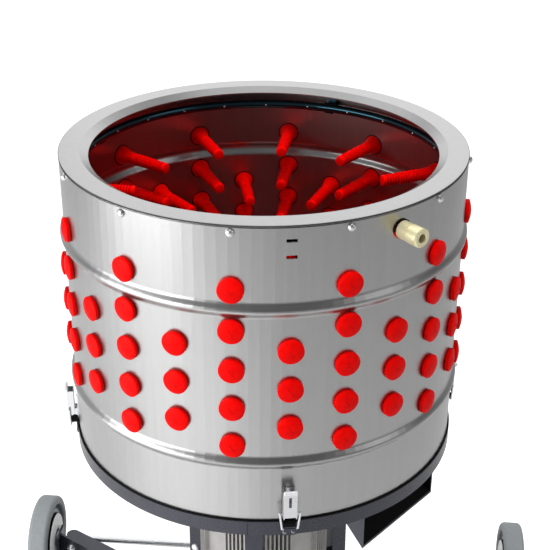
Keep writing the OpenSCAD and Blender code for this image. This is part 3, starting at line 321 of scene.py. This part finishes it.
FINISHES = {
    # Rolled stainless of drum and rim: soft broad reflections with faint upright streaks
    "stainless_sheet": stainless_sheet(),
    # Zinc plate: a pale, slightly clouded mirror
    "zinc_steel": plated_metal("zinc_plated_steel", "#d8d9db", "#dddee0", 0.25, 0.3, 30.0),
    # Zinc drawn nearly white from every side: a painted highlight, as a lit copy of the zinc plate
    "zinc_painted_highlight": coated("painted_highlight_zinc_white", "#f0f1f3", "#f5f6f7", 0.3, 1.0, 0.01, metallic=0.35),
    # Blackened steel: dark domes with a small bright point
    "dark_rivet": plated_metal("blackened_steel_rivet", "#77787c", "#7d7e82", 0.12, 0.16, 8.0),
    # Chrome: bright, with sharp dark edges
    "chrome": plated_metal("bright_chrome_plate", "#e4e6e8", "#eef0f1", 0.2, 0.3, 20.0),
    # Gloss black hose: blue glints along its upper side
    "spray_tube": coated("gloss_black_hose_tube", "#0a1013", "#12191d", 0.14, 1.2, 0.02, ior=1.9,
                         tint="#7cc8e4"),
    # Turned brass under lacquer: pale gold, with a soft shine
    "brass": coated("lacquered_turned_brass", "#ece2b4", "#f0e8c0", 0.33, 1.5, 0.01, metallic=0.6),
    # Red rubber: dense and almost matt; the deeper reds in the grooves and along the mould's line are painted
    # shade
    "red_rubber": moulded_rubber("moulded_red_rubber", "#e60000", "#f20400", 0.5, 0.06, 0.8),
    "red_groove_painted_shade": moulded_rubber("red_rubber_painted_groove_shade", "#c40000", "#cc0000", 0.6, 0.05, 0.8),
    "red_shadow": moulded_rubber("red_rubber_mould_line_painted_shade", "#a80303", "#b00404", 0.6, 0.1, 0.8),
    # Black rubber, also used for the black sheets, rings and blocks that are painted shade, and a dark grey
    # that paints the shade of the rim's joint: dark, matt lines between bright metal
    "black_rubber": moulded_rubber("black_epdm_rubber_and_painted_shade", "#040405", "#080809", 0.55, 0.12, 0.6),
    "rim_joint_painted_shade": moulded_rubber("grey_painted_joint_shade", "#3a3a3b", "#444445", 0.6, 0.15, 0.8),
    # Powder coat on ring and stand: dark blue-grey, with a soft sheen
    "slate_powder_coat": coated("slate_powder_coat", "#22232a", "#282930", 0.26, 1.0, 0.015, ior=1.6,
                                tint="#eceeff"),
    # Cast motor under lacquer: warm grey, between metal and paint
    "cast_aluminium": coated("die_cast_aluminium_lacquered", "#a5a3a1", "#b0aeac", 0.42, 0.9, 0.1,
                             metallic=0.35),
    # Moulded plastics: even colour, with a dull shine
    "dark_plastic": coated("moulded_dark_abs", "#37383b", "#3f4043", 0.5, 0.7, 0.1),
    "grey_plastic": coated("moulded_blue_grey_polypropylene", "#84929b", "#8c9aa3", 0.4, 1.0, 0.05),
    "wheel_cover": coated("moulded_light_grey_abs", "#f4f4f4", "#f8f8f8", 0.45, 1.0, 0.05),
    "grey_tyre": moulded_rubber("grey_thermoplastic_tyre", "#8b9092", "#919698", 0.5, 0.25, 0.5),
}

# Nodes whose finish differs from the usual one of their material
NODE_FINISH = {"latch_rivets": "dark_rivet"}

for part in frame["record"]["subparts"]:
    solid = frame["nodes"][part["node"]]
    solid.data.materials.clear()
    solid.data.materials.append(FINISHES[NODE_FINISH.get(part["node"], part["material_slot"])])


def photo_camera():
    """Camera at the photograph's place, height and lens."""
    data = bpy.data.cameras.new("photo_camera")
    data.sensor_width = SENSOR_MM
    data.lens = FOCAL_PIXELS / PHOTO_SIDE * SENSOR_MM
    data.clip_end = CAMERA_REACH
    made = bpy.data.objects.new("photo_camera", data)
    bpy.context.scene.collection.objects.link(made)
    place = Vector((CAMERA_DISTANCE * math.sin(CAMERA_BEARING), -CAMERA_DISTANCE * math.cos(CAMERA_BEARING),
                    RIM_Z + CAMERA_ABOVE_RIM))
    heading = Matrix.Rotation(CAMERA_BEARING - CAMERA_PAN, 4, "Z")
    pitch = Matrix.Rotation(math.pi / 2 - CAMERA_PITCH, 4, "X")
    made.matrix_world = Matrix.Translation(place) @ heading @ pitch @ Matrix.Rotation(CAMERA_ROLL, 4, "Z")
    bpy.context.scene.camera = made


def soft_light(name, place, width, height, power, mirrored):
    """A softbox aimed at the drum; one that is not mirrored lights without a highlight."""
    data = bpy.data.lights.new(name, "AREA")
    data.shape = "RECTANGLE"
    data.size = width
    data.size_y = height
    data.energy = power
    made = bpy.data.objects.new(name, data)
    bpy.context.scene.collection.objects.link(made)
    aim = (Vector(LIGHT_TARGET) - Vector(place)).to_track_quat("-Z", "Y")
    made.matrix_world = Matrix.Translation(place) @ aim.to_matrix().to_4x4()
    made.visible_glossy = mirrored


def graded_surroundings(tree):
    """Strength of the surroundings by direction: a white sweep behind, a pale ceiling, windows
    high on both sides, pale on the left and dim in front."""
    way = add(tree, "ShaderNodeTexCoord").outputs["Generated"]
    axes = add(tree, "ShaderNodeSeparateXYZ", {"Vector": way}).outputs
    aside = add(tree, "ShaderNodeMath", {0: axes["X"]}, operation="ABSOLUTE").outputs[0]
    grades = {}
    for name, (axis, begins, full, least, most) in ROOM_GRADES.items():
        grades[name] = add(tree, "ShaderNodeMapRange", {
            "Value": aside if axis == "aside" else axes[axis], "From Min": begins, "From Max": full,
            "To Min": least, "To Max": most}, interpolation_type="SMOOTHSTEP").outputs[0]
    levels = [grades["ceiling"]]
    for one, other in (("sweep", "wide"), ("left", "low")):
        both = add(tree, "ShaderNodeMath", {0: grades[one], 1: grades[other]}, operation="MULTIPLY")
        levels.append(both.outputs[0])
    for direction, strength, begins, full in WINDOWS:
        towards = add(tree, "ShaderNodeVectorMath", {0: way, 1: direction}, operation="DOT_PRODUCT")
        window = add(tree, "ShaderNodeMapRange", {
            "Value": towards.outputs["Value"], "From Min": begins, "From Max": full, "To Min": 0.0,
            "To Max": strength}, interpolation_type="SMOOTHSTEP")
        levels.append(window.outputs[0])
    brightest = levels[0]
    for level in levels[1:]:
        brightest = add(tree, "ShaderNodeMath", {0: brightest, 1: level}, operation="MAXIMUM").outputs[0]
    return brightest


def white_surroundings():
    """White to the camera, graded to what mirrors them and dim to matt surfaces."""
    world = bpy.data.worlds.new("studio")
    world.use_nodes = True
    bpy.context.scene.world = world
    tree = world.node_tree
    tree.nodes.clear()
    rays = add(tree, "ShaderNodeLightPath").outputs
    seen = add(tree, "ShaderNodeMath", {0: rays["Is Camera Ray"], 1: rays["Is Transmission Ray"]},
               operation="MAXIMUM")
    mirrored = add(tree, "ShaderNodeMath", {0: rays["Is Glossy Ray"], 1: graded_surroundings(tree)},
                   operation="MULTIPLY")
    lit = add(tree, "ShaderNodeMapRange", {
        "Value": rays["Is Diffuse Ray"], "To Min": 0.0, "To Max": ROOM_LIGHT})
    both = add(tree, "ShaderNodeMath", {0: mirrored.outputs[0], 1: lit.outputs[0]}, operation="MAXIMUM")
    strength = add(tree, "ShaderNodeMath", {0: seen.outputs[0], 1: both.outputs[0]}, operation="MAXIMUM")
    back = add(tree, "ShaderNodeBackground", {"Strength": strength.outputs[0], "Color": grey(1.0)})
    add(tree, "ShaderNodeOutputWorld", {"Surface": back.outputs[0]})


def matt_paper():
    """Matt white paper: keeps the part's shadow, and glows only for rays mirrored by metal, as painted
    reflection that fades to the right and is strongest in a spot near the left. Its fibres are drawn coarser
    than real ones, so that they show."""
    made, tree, shader, place = new_material("matt_white_paper")
    fibre = add(tree, "ShaderNodeTexNoise", {"Vector": place, "Scale": per_mm(4.0), "Detail": 2.0})
    tone = add(tree, "ShaderNodeValToRGB", {"Fac": fibre.outputs["Fac"]}, (grey(0.72), grey(0.75)))
    rays = add(tree, "ShaderNodeLightPath").outputs
    glow = add(tree, "ShaderNodeMapRange", {
        "Value": rays["Is Camera Ray"], "To Min": 0.0, "To Max": FLOOR_GLOW})
    # Painted reflection: the floor glows for glossy rays only, fading to the right and strongest in a spot
    # near the left
    sideways = add(tree, "ShaderNodeSeparateXYZ", {"Vector": place}).outputs["X"]
    side = add(tree, "ShaderNodeMapRange", {
        "Value": sideways, "From Min": FLOOR_SIDE_FROM, "From Max": FLOOR_SIDE_TO, "To Min": FLOOR_MIDDLE,
        "To Max": FLOOR_RIGHT}, interpolation_type="SMOOTHSTEP")
    from_spot = add(tree, "ShaderNodeVectorMath", {0: place, 1: SPOT_PLACE}, operation="DISTANCE")
    spot = add(tree, "ShaderNodeMapRange", {
        "Value": from_spot.outputs["Value"], "From Min": SPOT_EDGE, "From Max": SPOT_FULL, "To Min": 0.0,
        "To Max": FLOOR_SPOT}, interpolation_type="SMOOTHSTEP")
    paleness = add(tree, "ShaderNodeMath", {0: side.outputs[0], 1: spot.outputs[0]}, operation="ADD")
    sheen = add(tree, "ShaderNodeMath", {0: rays["Is Glossy Ray"], 1: paleness.outputs[0]},
                operation="MULTIPLY")
    both = add(tree, "ShaderNodeMath", {0: glow.outputs[0], 1: sheen.outputs[0]}, operation="MAXIMUM")
    feed(tree, shader, {"Base Color": tone.outputs["Color"], "Roughness": 0.9, "Emission Color": grey(1.0),
                        "Emission Strength": both.outputs[0]})
    return made


def studio():
    """Pale floor, a white sweep and three soft lights."""
    bpy.context.scene.view_settings.view_transform = "Standard"
    white_surroundings()
    floor_mesh = bpy.data.meshes.new("studio_floor")
    corners = [(x * FLOOR_HALF, y * FLOOR_HALF, 0) for x, y in ((-1, -1), (1, -1), (1, 1), (-1, 1))]
    floor_mesh.from_pydata(corners, [], [(0, 1, 2, 3)])
    floor = bpy.data.objects.new("studio_floor", floor_mesh)
    bpy.context.scene.collection.objects.link(floor)
    floor.data.materials.append(matt_paper())
    for light in LIGHTS:
        soft_light(*light)


def piece(name, verts, faces, finish, body, slot, smooth=True):
    """A mesh in millimetres as an object that rides on a body."""
    mesh = bpy.data.meshes.new(name)
    mesh.from_pydata([Vector(v) * MM for v in verts], [], faces)
    mesh.validate()
    work = bmesh.new()
    work.from_mesh(mesh)
    bmesh.ops.recalc_face_normals(work, faces=work.faces)
    work.to_mesh(mesh)
    work.free()
    made = bpy.data.objects.new(name, mesh)
    bpy.context.scene.collection.objects.link(made)
    mesh.materials.append(finish)
    if smooth:
        mesh.shade_smooth()
        mesh.set_sharp_from_angle(angle=CRISP_EDGE)
    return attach(made, body)


def lathe(profile, turns):
    """Points of a profile of (radius, height) turned about Z, closed at the axis, and its faces."""
    verts, faces, rows = [], [], []
    for radius, height in profile:
        if radius < ON_AXIS:
            rows.append([len(verts)])
            verts.append(Vector((0, 0, height)))
            continue
        rows.append(list(range(len(verts), len(verts) + turns)))
        for k in range(turns):
            angle = math.tau * k / turns
            verts.append(Vector((radius * math.cos(angle), radius * math.sin(angle), height)))
    for low, high in zip(rows, rows[1:]):
        for k in range(turns):
            after = k + 1
            ring = [low[k % len(low)], low[after % len(low)], high[after % len(high)], high[k % len(high)]]
            faces.append(list(dict.fromkeys(ring)))
    return verts, faces


def closed(profile):
    """A profile that comes back to its first point."""
    return list(profile) + [profile[0]]


def swept(profiles):
    """Faces between neighbouring profiles of the same number of points, with both ends closed."""
    count = len(profiles[0])
    verts = [point for profile in profiles for point in profile]
    faces = []
    for start in range(0, len(verts) - count, count):
        for c in range(count):
            after = (c + 1) % count
            faces.append([start + c, start + after, start + count + after, start + count + c])
    return verts, faces + [list(range(count)), list(range(len(verts) - count, len(verts)))]


def joined(shapes):
    """Several shapes as one list of points and faces."""
    verts, faces = [], []
    for points, sides in shapes:
        faces += [[len(verts) + i for i in side] for side in sides]
        verts += points
    return verts, faces


def arranged(shape, places):
    """One shape repeated at each place."""
    return joined([([place @ v for v in shape[0]], shape[1]) for place in places])


def facing(turn):
    """Axes whose Z points out at this angle from the front towards the right and whose Y points up."""
    out = Vector((math.sin(turn), -math.cos(turn), 0))
    side = Vector((math.cos(turn), math.sin(turn), 0))
    return out, Matrix((side, Vector((0, 0, 1)), out)).transposed().to_4x4()


def outward(bearing, height, radius):
    """A frame on the drum whose Z runs out from the axis and whose Y runs up."""
    out, axes = facing(math.radians(bearing) + DRUM_TURN)
    return Matrix.Translation(out * radius + Vector((0, 0, height))) @ axes


def across(bearing, outline, low, high):
    """An outline of (radius, height) at a bearing on the drum, drawn out sideways from low to high."""
    return swept([[outward(bearing, height, radius) @ Vector((side, 0, 0)) for radius, height in outline]
                  for side in (low, high)])


def finger_profile(length, neck_h):
    """Moulded finger from its tip to its head: blunt tip, fine ribs, trumpet root, neck and domed head."""
    line = [(0, -length)] + [(RIB_TIP_R - inset, rise - length) for inset, rise in TIP_LINE]
    start = length * RIB_START
    for rib in range(RIB_COUNT):
        for part, sunk in RIB_LINE:
            way = (rib + part) / RIB_COUNT
            line.append((RIB_TIP_R + (RIB_ROOT_R - RIB_TIP_R) * way - RIB_DEPTH * sunk,
                         -(start + (length - start - TIP_PLAIN) * (1 - way))))
    for step in range(FLARE_STEPS):
        way = step / FLARE_STEPS
        flare = FLARE_STRAIGHT * way + (1 - FLARE_STRAIGHT) * way ** FLARE_POWER
        line.append((WAIST_R + (SHOULDER_HALF - WAIST_R) * flare, -start * (1 - way) - SHOULDER_EDGE * way))
    line += [(SHOULDER_HALF - inset, height) for inset, height in SHOULDER_LINE]
    line += [(NECK_R, 0), (NECK_R, neck_h)]
    line += [(HEAD_R - inset, neck_h + rise) for inset, rise in HEAD_UNDER]
    line.append((HEAD_R, neck_h + HEAD_EDGE))
    radius, height = HEAD_R - EDGE_ROUND, neck_h + HEAD_EDGE + EDGE_ROUND
    for step in range(CROWN_STEPS):
        way = 1 - step / CROWN_STEPS
        line.append((radius * way, height + HEAD_CROWN * (1 - way ** 2)))
    return line + [(0, height + HEAD_CROWN)]


def finger_bearings(sector):
    """Bearing and height of each finger of one quarter of the drum."""
    for column in range(QUARTER_COLUMNS):
        turn = sector * 90 + (column - 1) * COLUMN_STEP
        for row in range(LONG_ROWS):
            yield turn, ROW_1 - row * ROW_PITCH
        for row in range(1, 1 + SHORT_ROWS):
            yield turn + COLUMN_STEP / 2, ROW_1 - (row + 0.5) * ROW_PITCH


def finger_places(sector):
    """Frames on the drum's wall for the fingers of one quarter."""
    return [outward(turn, height, SHOULDER_R) for turn, height in finger_bearings(sector)]


def parting_mark(head_top):
    """A fine slanting ridge across the crown of a head, where the mould parts."""
    profiles = []
    for step in range(MARK_STEPS + 1):
        along = MARK_HALF * (2 * step / MARK_STEPS - 1)
        sag = HEAD_CROWN * (along / (HEAD_R - EDGE_ROUND)) ** 2
        profiles.append([MARK_WAY * along + MARK_ACROSS * side + Vector((0, 0, head_top - sag + lift))
                         for side, lift in MARK_LINE])
    return swept(profiles)


def shade_grooves(made, faces_each):
    """Gives the faces of each groove between ribs a deeper red: painted shade in the grooves."""
    made.data.materials.append(FINISHES["red_groove_painted_shade"])
    for face in made.data.polygons:
        row = face.index % faces_each // FINGER_TURNS - TIP_POINTS
        if 0 <= row < len(RIB_LINE) * RIB_COUNT and row % len(RIB_LINE):
            face.material_index = 1


def drum_fingers():
    """The four quarters of the drum's fingers with the parting marks on their heads."""
    shape = lathe(finger_profile(FINGER_LEN, NECK_H), FINGER_TURNS)
    marks = []
    for sector, quarter in enumerate(("front", "right", "back", "left")):
        places = finger_places(sector)
        marks += places
        made = piece("moulded_fingers_" + quarter, *arranged(shape, places), FINISHES["red_rubber"], "root",
                     "red_rubber")
        shade_grooves(made, len(shape[1]))
        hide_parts("fingers_" + quarter)
    # The parting marks take a darker red: painted shade along the mould's line
    mark = parting_mark(NECK_H + HEAD_H)
    piece("head_parting_marks", *arranged(mark, marks), FINISHES["red_shadow"], "root", "red_rubber",
          smooth=False)


def shoulder_shade_rings():
    """Thin black ring under the shoulder of each finger inside the drum: painted shade where the shoulder
    meets the wall.
    """
    shape = lathe(closed([(SHOULDER_HALF + out, height) for out, height in SHOULDER_SHADE_LINE]), SHOULDER_SHADE_TURNS)
    places = [place for sector in range(4) for place in finger_places(sector)]
    piece("shoulder_shade_rings", *arranged(shape, places), FINISHES["black_rubber"], "root", "black_rubber")


def plate_fingers():
    """The fingers that stand on the finger plate and turn with it."""
    flip = Matrix.Rotation(math.pi, 4, "X")
    shape = lathe(finger_profile(PLATE_FINGER_LEN, PLATE_NECK_H), FINGER_TURNS)
    places = []
    for radius, count in PLATE_RINGS:
        stand = Matrix.Translation((radius, 0, PLATE_TOP + PLATE_GAP)) @ flip
        places += [Matrix.Rotation(math.tau / count * (k + 0.5), 4, "Z") @ stand for k in range(count)]
    made = piece("moulded_plate_fingers", *arranged(shape, places), FINISHES["red_rubber"], "spinner",
                 "red_rubber")
    shade_grooves(made, len(shape[1]))
    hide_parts("plate_fingers")


def chute_shade_sheets():
    """Black sheets on the chute's two cheeks and its sloping floor: painted shade of the chute's dark inside.
    """
    half, inner = CHUTE_HALF, CHUTE_HALF - CHUTE_SHADE_T
    run, drop = CHUTE_MOUTH - CHUTE_BACK, CHUTE_SLOPE_TOP - CHUTE_LOW
    lift = CHUTE_SHADE_T * math.hypot(run, drop) / run
    cheek = [(CHUTE_BACK + CHEEK_IN, CHUTE_TOP), (CHUTE_MOUTH, CHUTE_TOP), (CHUTE_MOUTH, CHUTE_LOW)]
    floor = [(CHUTE_BACK, CHUTE_TOP), (CHUTE_BACK + lift, CHUTE_TOP), (CHUTE_MOUTH, CHUTE_LOW + lift),
             (CHUTE_MOUTH, CHUTE_LOW + CHUTE_SHADE_LOW)]
    sheets = [across(CHUTE_TURN, cheek, -half, -inner), across(CHUTE_TURN, cheek, inner, half),
              across(CHUTE_TURN, floor, -inner, inner)]
    piece("chute_shade_sheets", *joined(sheets), FINISHES["black_rubber"], "root", "black_rubber", smooth=False)


def nipple_seal_shade_ring():
    """Black split ring round the nipple's red seal, with a lip over the seal's face and its gap below; the
    lip darkens the seal's upper side as painted shade, so that the seal shows red only below.
    """
    low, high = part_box("nipple_seal")
    place = outward(NIPPLE_TURN, (low.z + high.z) / 2 / MM, DRUM_R)
    profiles = []
    for step in range(RING_STEPS + 1):
        turn = math.radians(RING_FROM + (RING_TO - RING_FROM) * step / RING_STEPS)
        profiles.append([place @ Vector((radius * math.cos(turn), radius * math.sin(turn), height))
                         for radius, height in RING_LINE])
    piece("nipple_seal_shade_ring", *swept(profiles), FINISHES["black_rubber"], "root", "black_rubber")


def spray_jets():
    """Small chromed nozzles in the jets of the spray tube, pointing at the drum's axis."""
    inward = Matrix.Rotation(math.pi, 4, "Y")
    places = [outward((k + 0.5) * 360 / JET_COUNT, JET_Z, JET_FACE_R) @ inward for k in range(JET_COUNT)]
    piece("spray_jets", *arranged(lathe(JET_LINE, JET_TURNS), places), FINISHES["chrome"], "root", "chrome")


def wheel_covers():
    """Light covers with a black gasket on both faces of each wheel, which turn with it."""
    cover = lathe(closed([
        (COVER_HOLE, COVER_BACK), (COVER_R, COVER_BACK), (COVER_R, COVER_EDGE - COVER_EASE),
        (COVER_R - COVER_EASE, COVER_EDGE), (COVER_HOLE + COVER_FLAT, COVER_FACE),
        (COVER_HOLE, COVER_FACE)]), COVER_TURNS)
    gasket = lathe(closed([
        (COVER_R + GASKET_IN, COVER_BACK), (COVER_R + GASKET_OUT, COVER_BACK),
        (COVER_R + GASKET_OUT, COVER_EDGE - GASKET_FACE_OUT),
        (COVER_R + GASKET_IN, COVER_EDGE - GASKET_FACE_IN)]), COVER_TURNS)
    for side in ("right", "left"):
        low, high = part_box("tyre_" + side)
        middle = Matrix.Translation((low + high) / 2 / MM)
        places = [middle @ Matrix.Rotation(turn, 4, "Y") for turn in (math.pi / 2, -math.pi / 2)]
        piece("wheel_cover_" + side, *arranged(cover, places), FINISHES["wheel_cover"], "wheel_" + side,
              "grey_plastic", smooth=False)
        piece("wheel_gasket_" + side, *arranged(gasket, places), FINISHES["black_rubber"], "wheel_" + side,
              "black_rubber", smooth=False)


def rim_edge_shade_band():
    """Dark band round the rim's outer edge: painted shade of the joint under the rim's flat."""
    line = [(DRUM_R + out, RIM_Z / MM + rise) for out, rise in RIM_SHADE_LINE]
    piece("rim_edge_shade_band", *lathe(closed(line), RIM_SHADE_TURNS), FINISHES["rim_joint_painted_shade"], "root",
          "black_rubber")


def ring_seam():
    """Black sealant in the butt seam of the base ring."""
    outline = [(SEAM_IN, SEAM_LOW), (SEAM_OUT, SEAM_LOW), (SEAM_OUT, SEAM_HIGH), (SEAM_IN, SEAM_HIGH)]
    piece("ring_seam", *across(SEAM_TURN, outline, -SEAM_HALF, SEAM_HALF), FINISHES["black_rubber"], "root",
          "black_rubber", smooth=False)


def latch_bearings():
    """Number and bearing of each latch round the drum."""
    return [(k + 1, LATCH_TURN + k * 360 / LATCHES) for k in range(LATCHES)]


def catch_shade_blocks():
    """Block on each catch's shelf, between the legs of the bail, with eased upper edges; its black is painted
    shade under the lever.
    """
    outline = [(BLOCK_IN, BLOCK_LOW), (BLOCK_OUT, BLOCK_LOW), (BLOCK_OUT, BLOCK_HIGH - 3 * BLOCK_EASE),
               (BLOCK_OUT - BLOCK_EASE, BLOCK_HIGH - BLOCK_EASE), (BLOCK_OUT - 3 * BLOCK_EASE, BLOCK_HIGH),
               (BLOCK_IN, BLOCK_HIGH)]
    blocks = [across(turn, outline, -BLOCK_HALF, BLOCK_HALF) for _, turn in latch_bearings()]
    piece("catch_shade_blocks", *joined(blocks), FINISHES["black_rubber"], "root", "black_rubber", smooth=False)


def cross_rod(radius, half, ease, turns):
    """A round rod with eased ends that lies across a latch."""
    line = [(0.0, -half), (radius - ease, -half), (radius, ease - half)]
    shape = lathe(line + [(r, -z) for r, z in reversed(line)], turns)
    return arranged(shape, [Matrix.Rotation(math.pi / 2, 4, "Y")])


def bail_sleeves():
    """Slate sleeve on the bar of each bail, which moves with it."""
    shape = cross_rod(SLEEVE_R, SLEEVE_HALF, SLEEVE_EASE, SLEEVE_TURNS)
    for number, turn in latch_bearings():
        piece("bail_sleeve_%d" % number, *arranged(shape, [outward(turn, BAR_Z, BAR_R)]),
              FINISHES["slate_powder_coat"], "bail_%d" % number, "slate_powder_coat")


def lever_rolls():
    """Rolled upper edge of each latch lever, which moves with it; its near-white zinc is a painted highlight.
    """
    shape = cross_rod(ROLL_R, ROLL_HALF, ROLL_EASE, ROLL_TURNS)
    for number, turn in latch_bearings():
        piece("lever_roll_%d" % number, *arranged(shape, [outward(turn, ROLL_Z, ROLL_AT)]),
              FINISHES["zinc_painted_highlight"], "lever_%d" % number, "zinc_steel")


def post_bolt():
    """Domed bolt head on the front face of the left post."""
    low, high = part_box("post_left")
    out, axes = facing(POST_BOLT_TURN)
    middle = (low + high) / 2 / MM
    middle.z = POST_BOLT_Z
    depth = (high.x - low.x) / MM / (abs(out.x) + abs(out.y)) / 2
    dome = [(0.0, 0.0), (POST_BOLT_R, 0.0)]
    for step in range(DOME_STEPS):
        angle = math.pi / 2 * step / DOME_STEPS
        rise = (POST_BOLT_H - POST_BOLT_EDGE) * math.sin(angle)
        dome.append((POST_BOLT_R * math.cos(angle), POST_BOLT_EDGE + rise))
    shape = lathe(dome + [(0.0, POST_BOLT_H)], POST_BOLT_TURNS)
    place = Matrix.Translation(middle + out * (depth + POST_BOLT_GAP)) @ axes
    # The bolt head takes the same near-white zinc: a painted highlight
    piece("post_bolt", *arranged(shape, [place]), FINISHES["zinc_painted_highlight"], "root", "zinc_steel")


drum_fingers()
shoulder_shade_rings()
plate_fingers()
chute_shade_sheets()
nipple_seal_shade_ring()
wheel_covers()
rim_edge_shade_band()
catch_shade_blocks()
bail_sleeves()
lever_rolls()
spray_jets()
ring_seam()
post_bolt()

photo_camera()
studio()
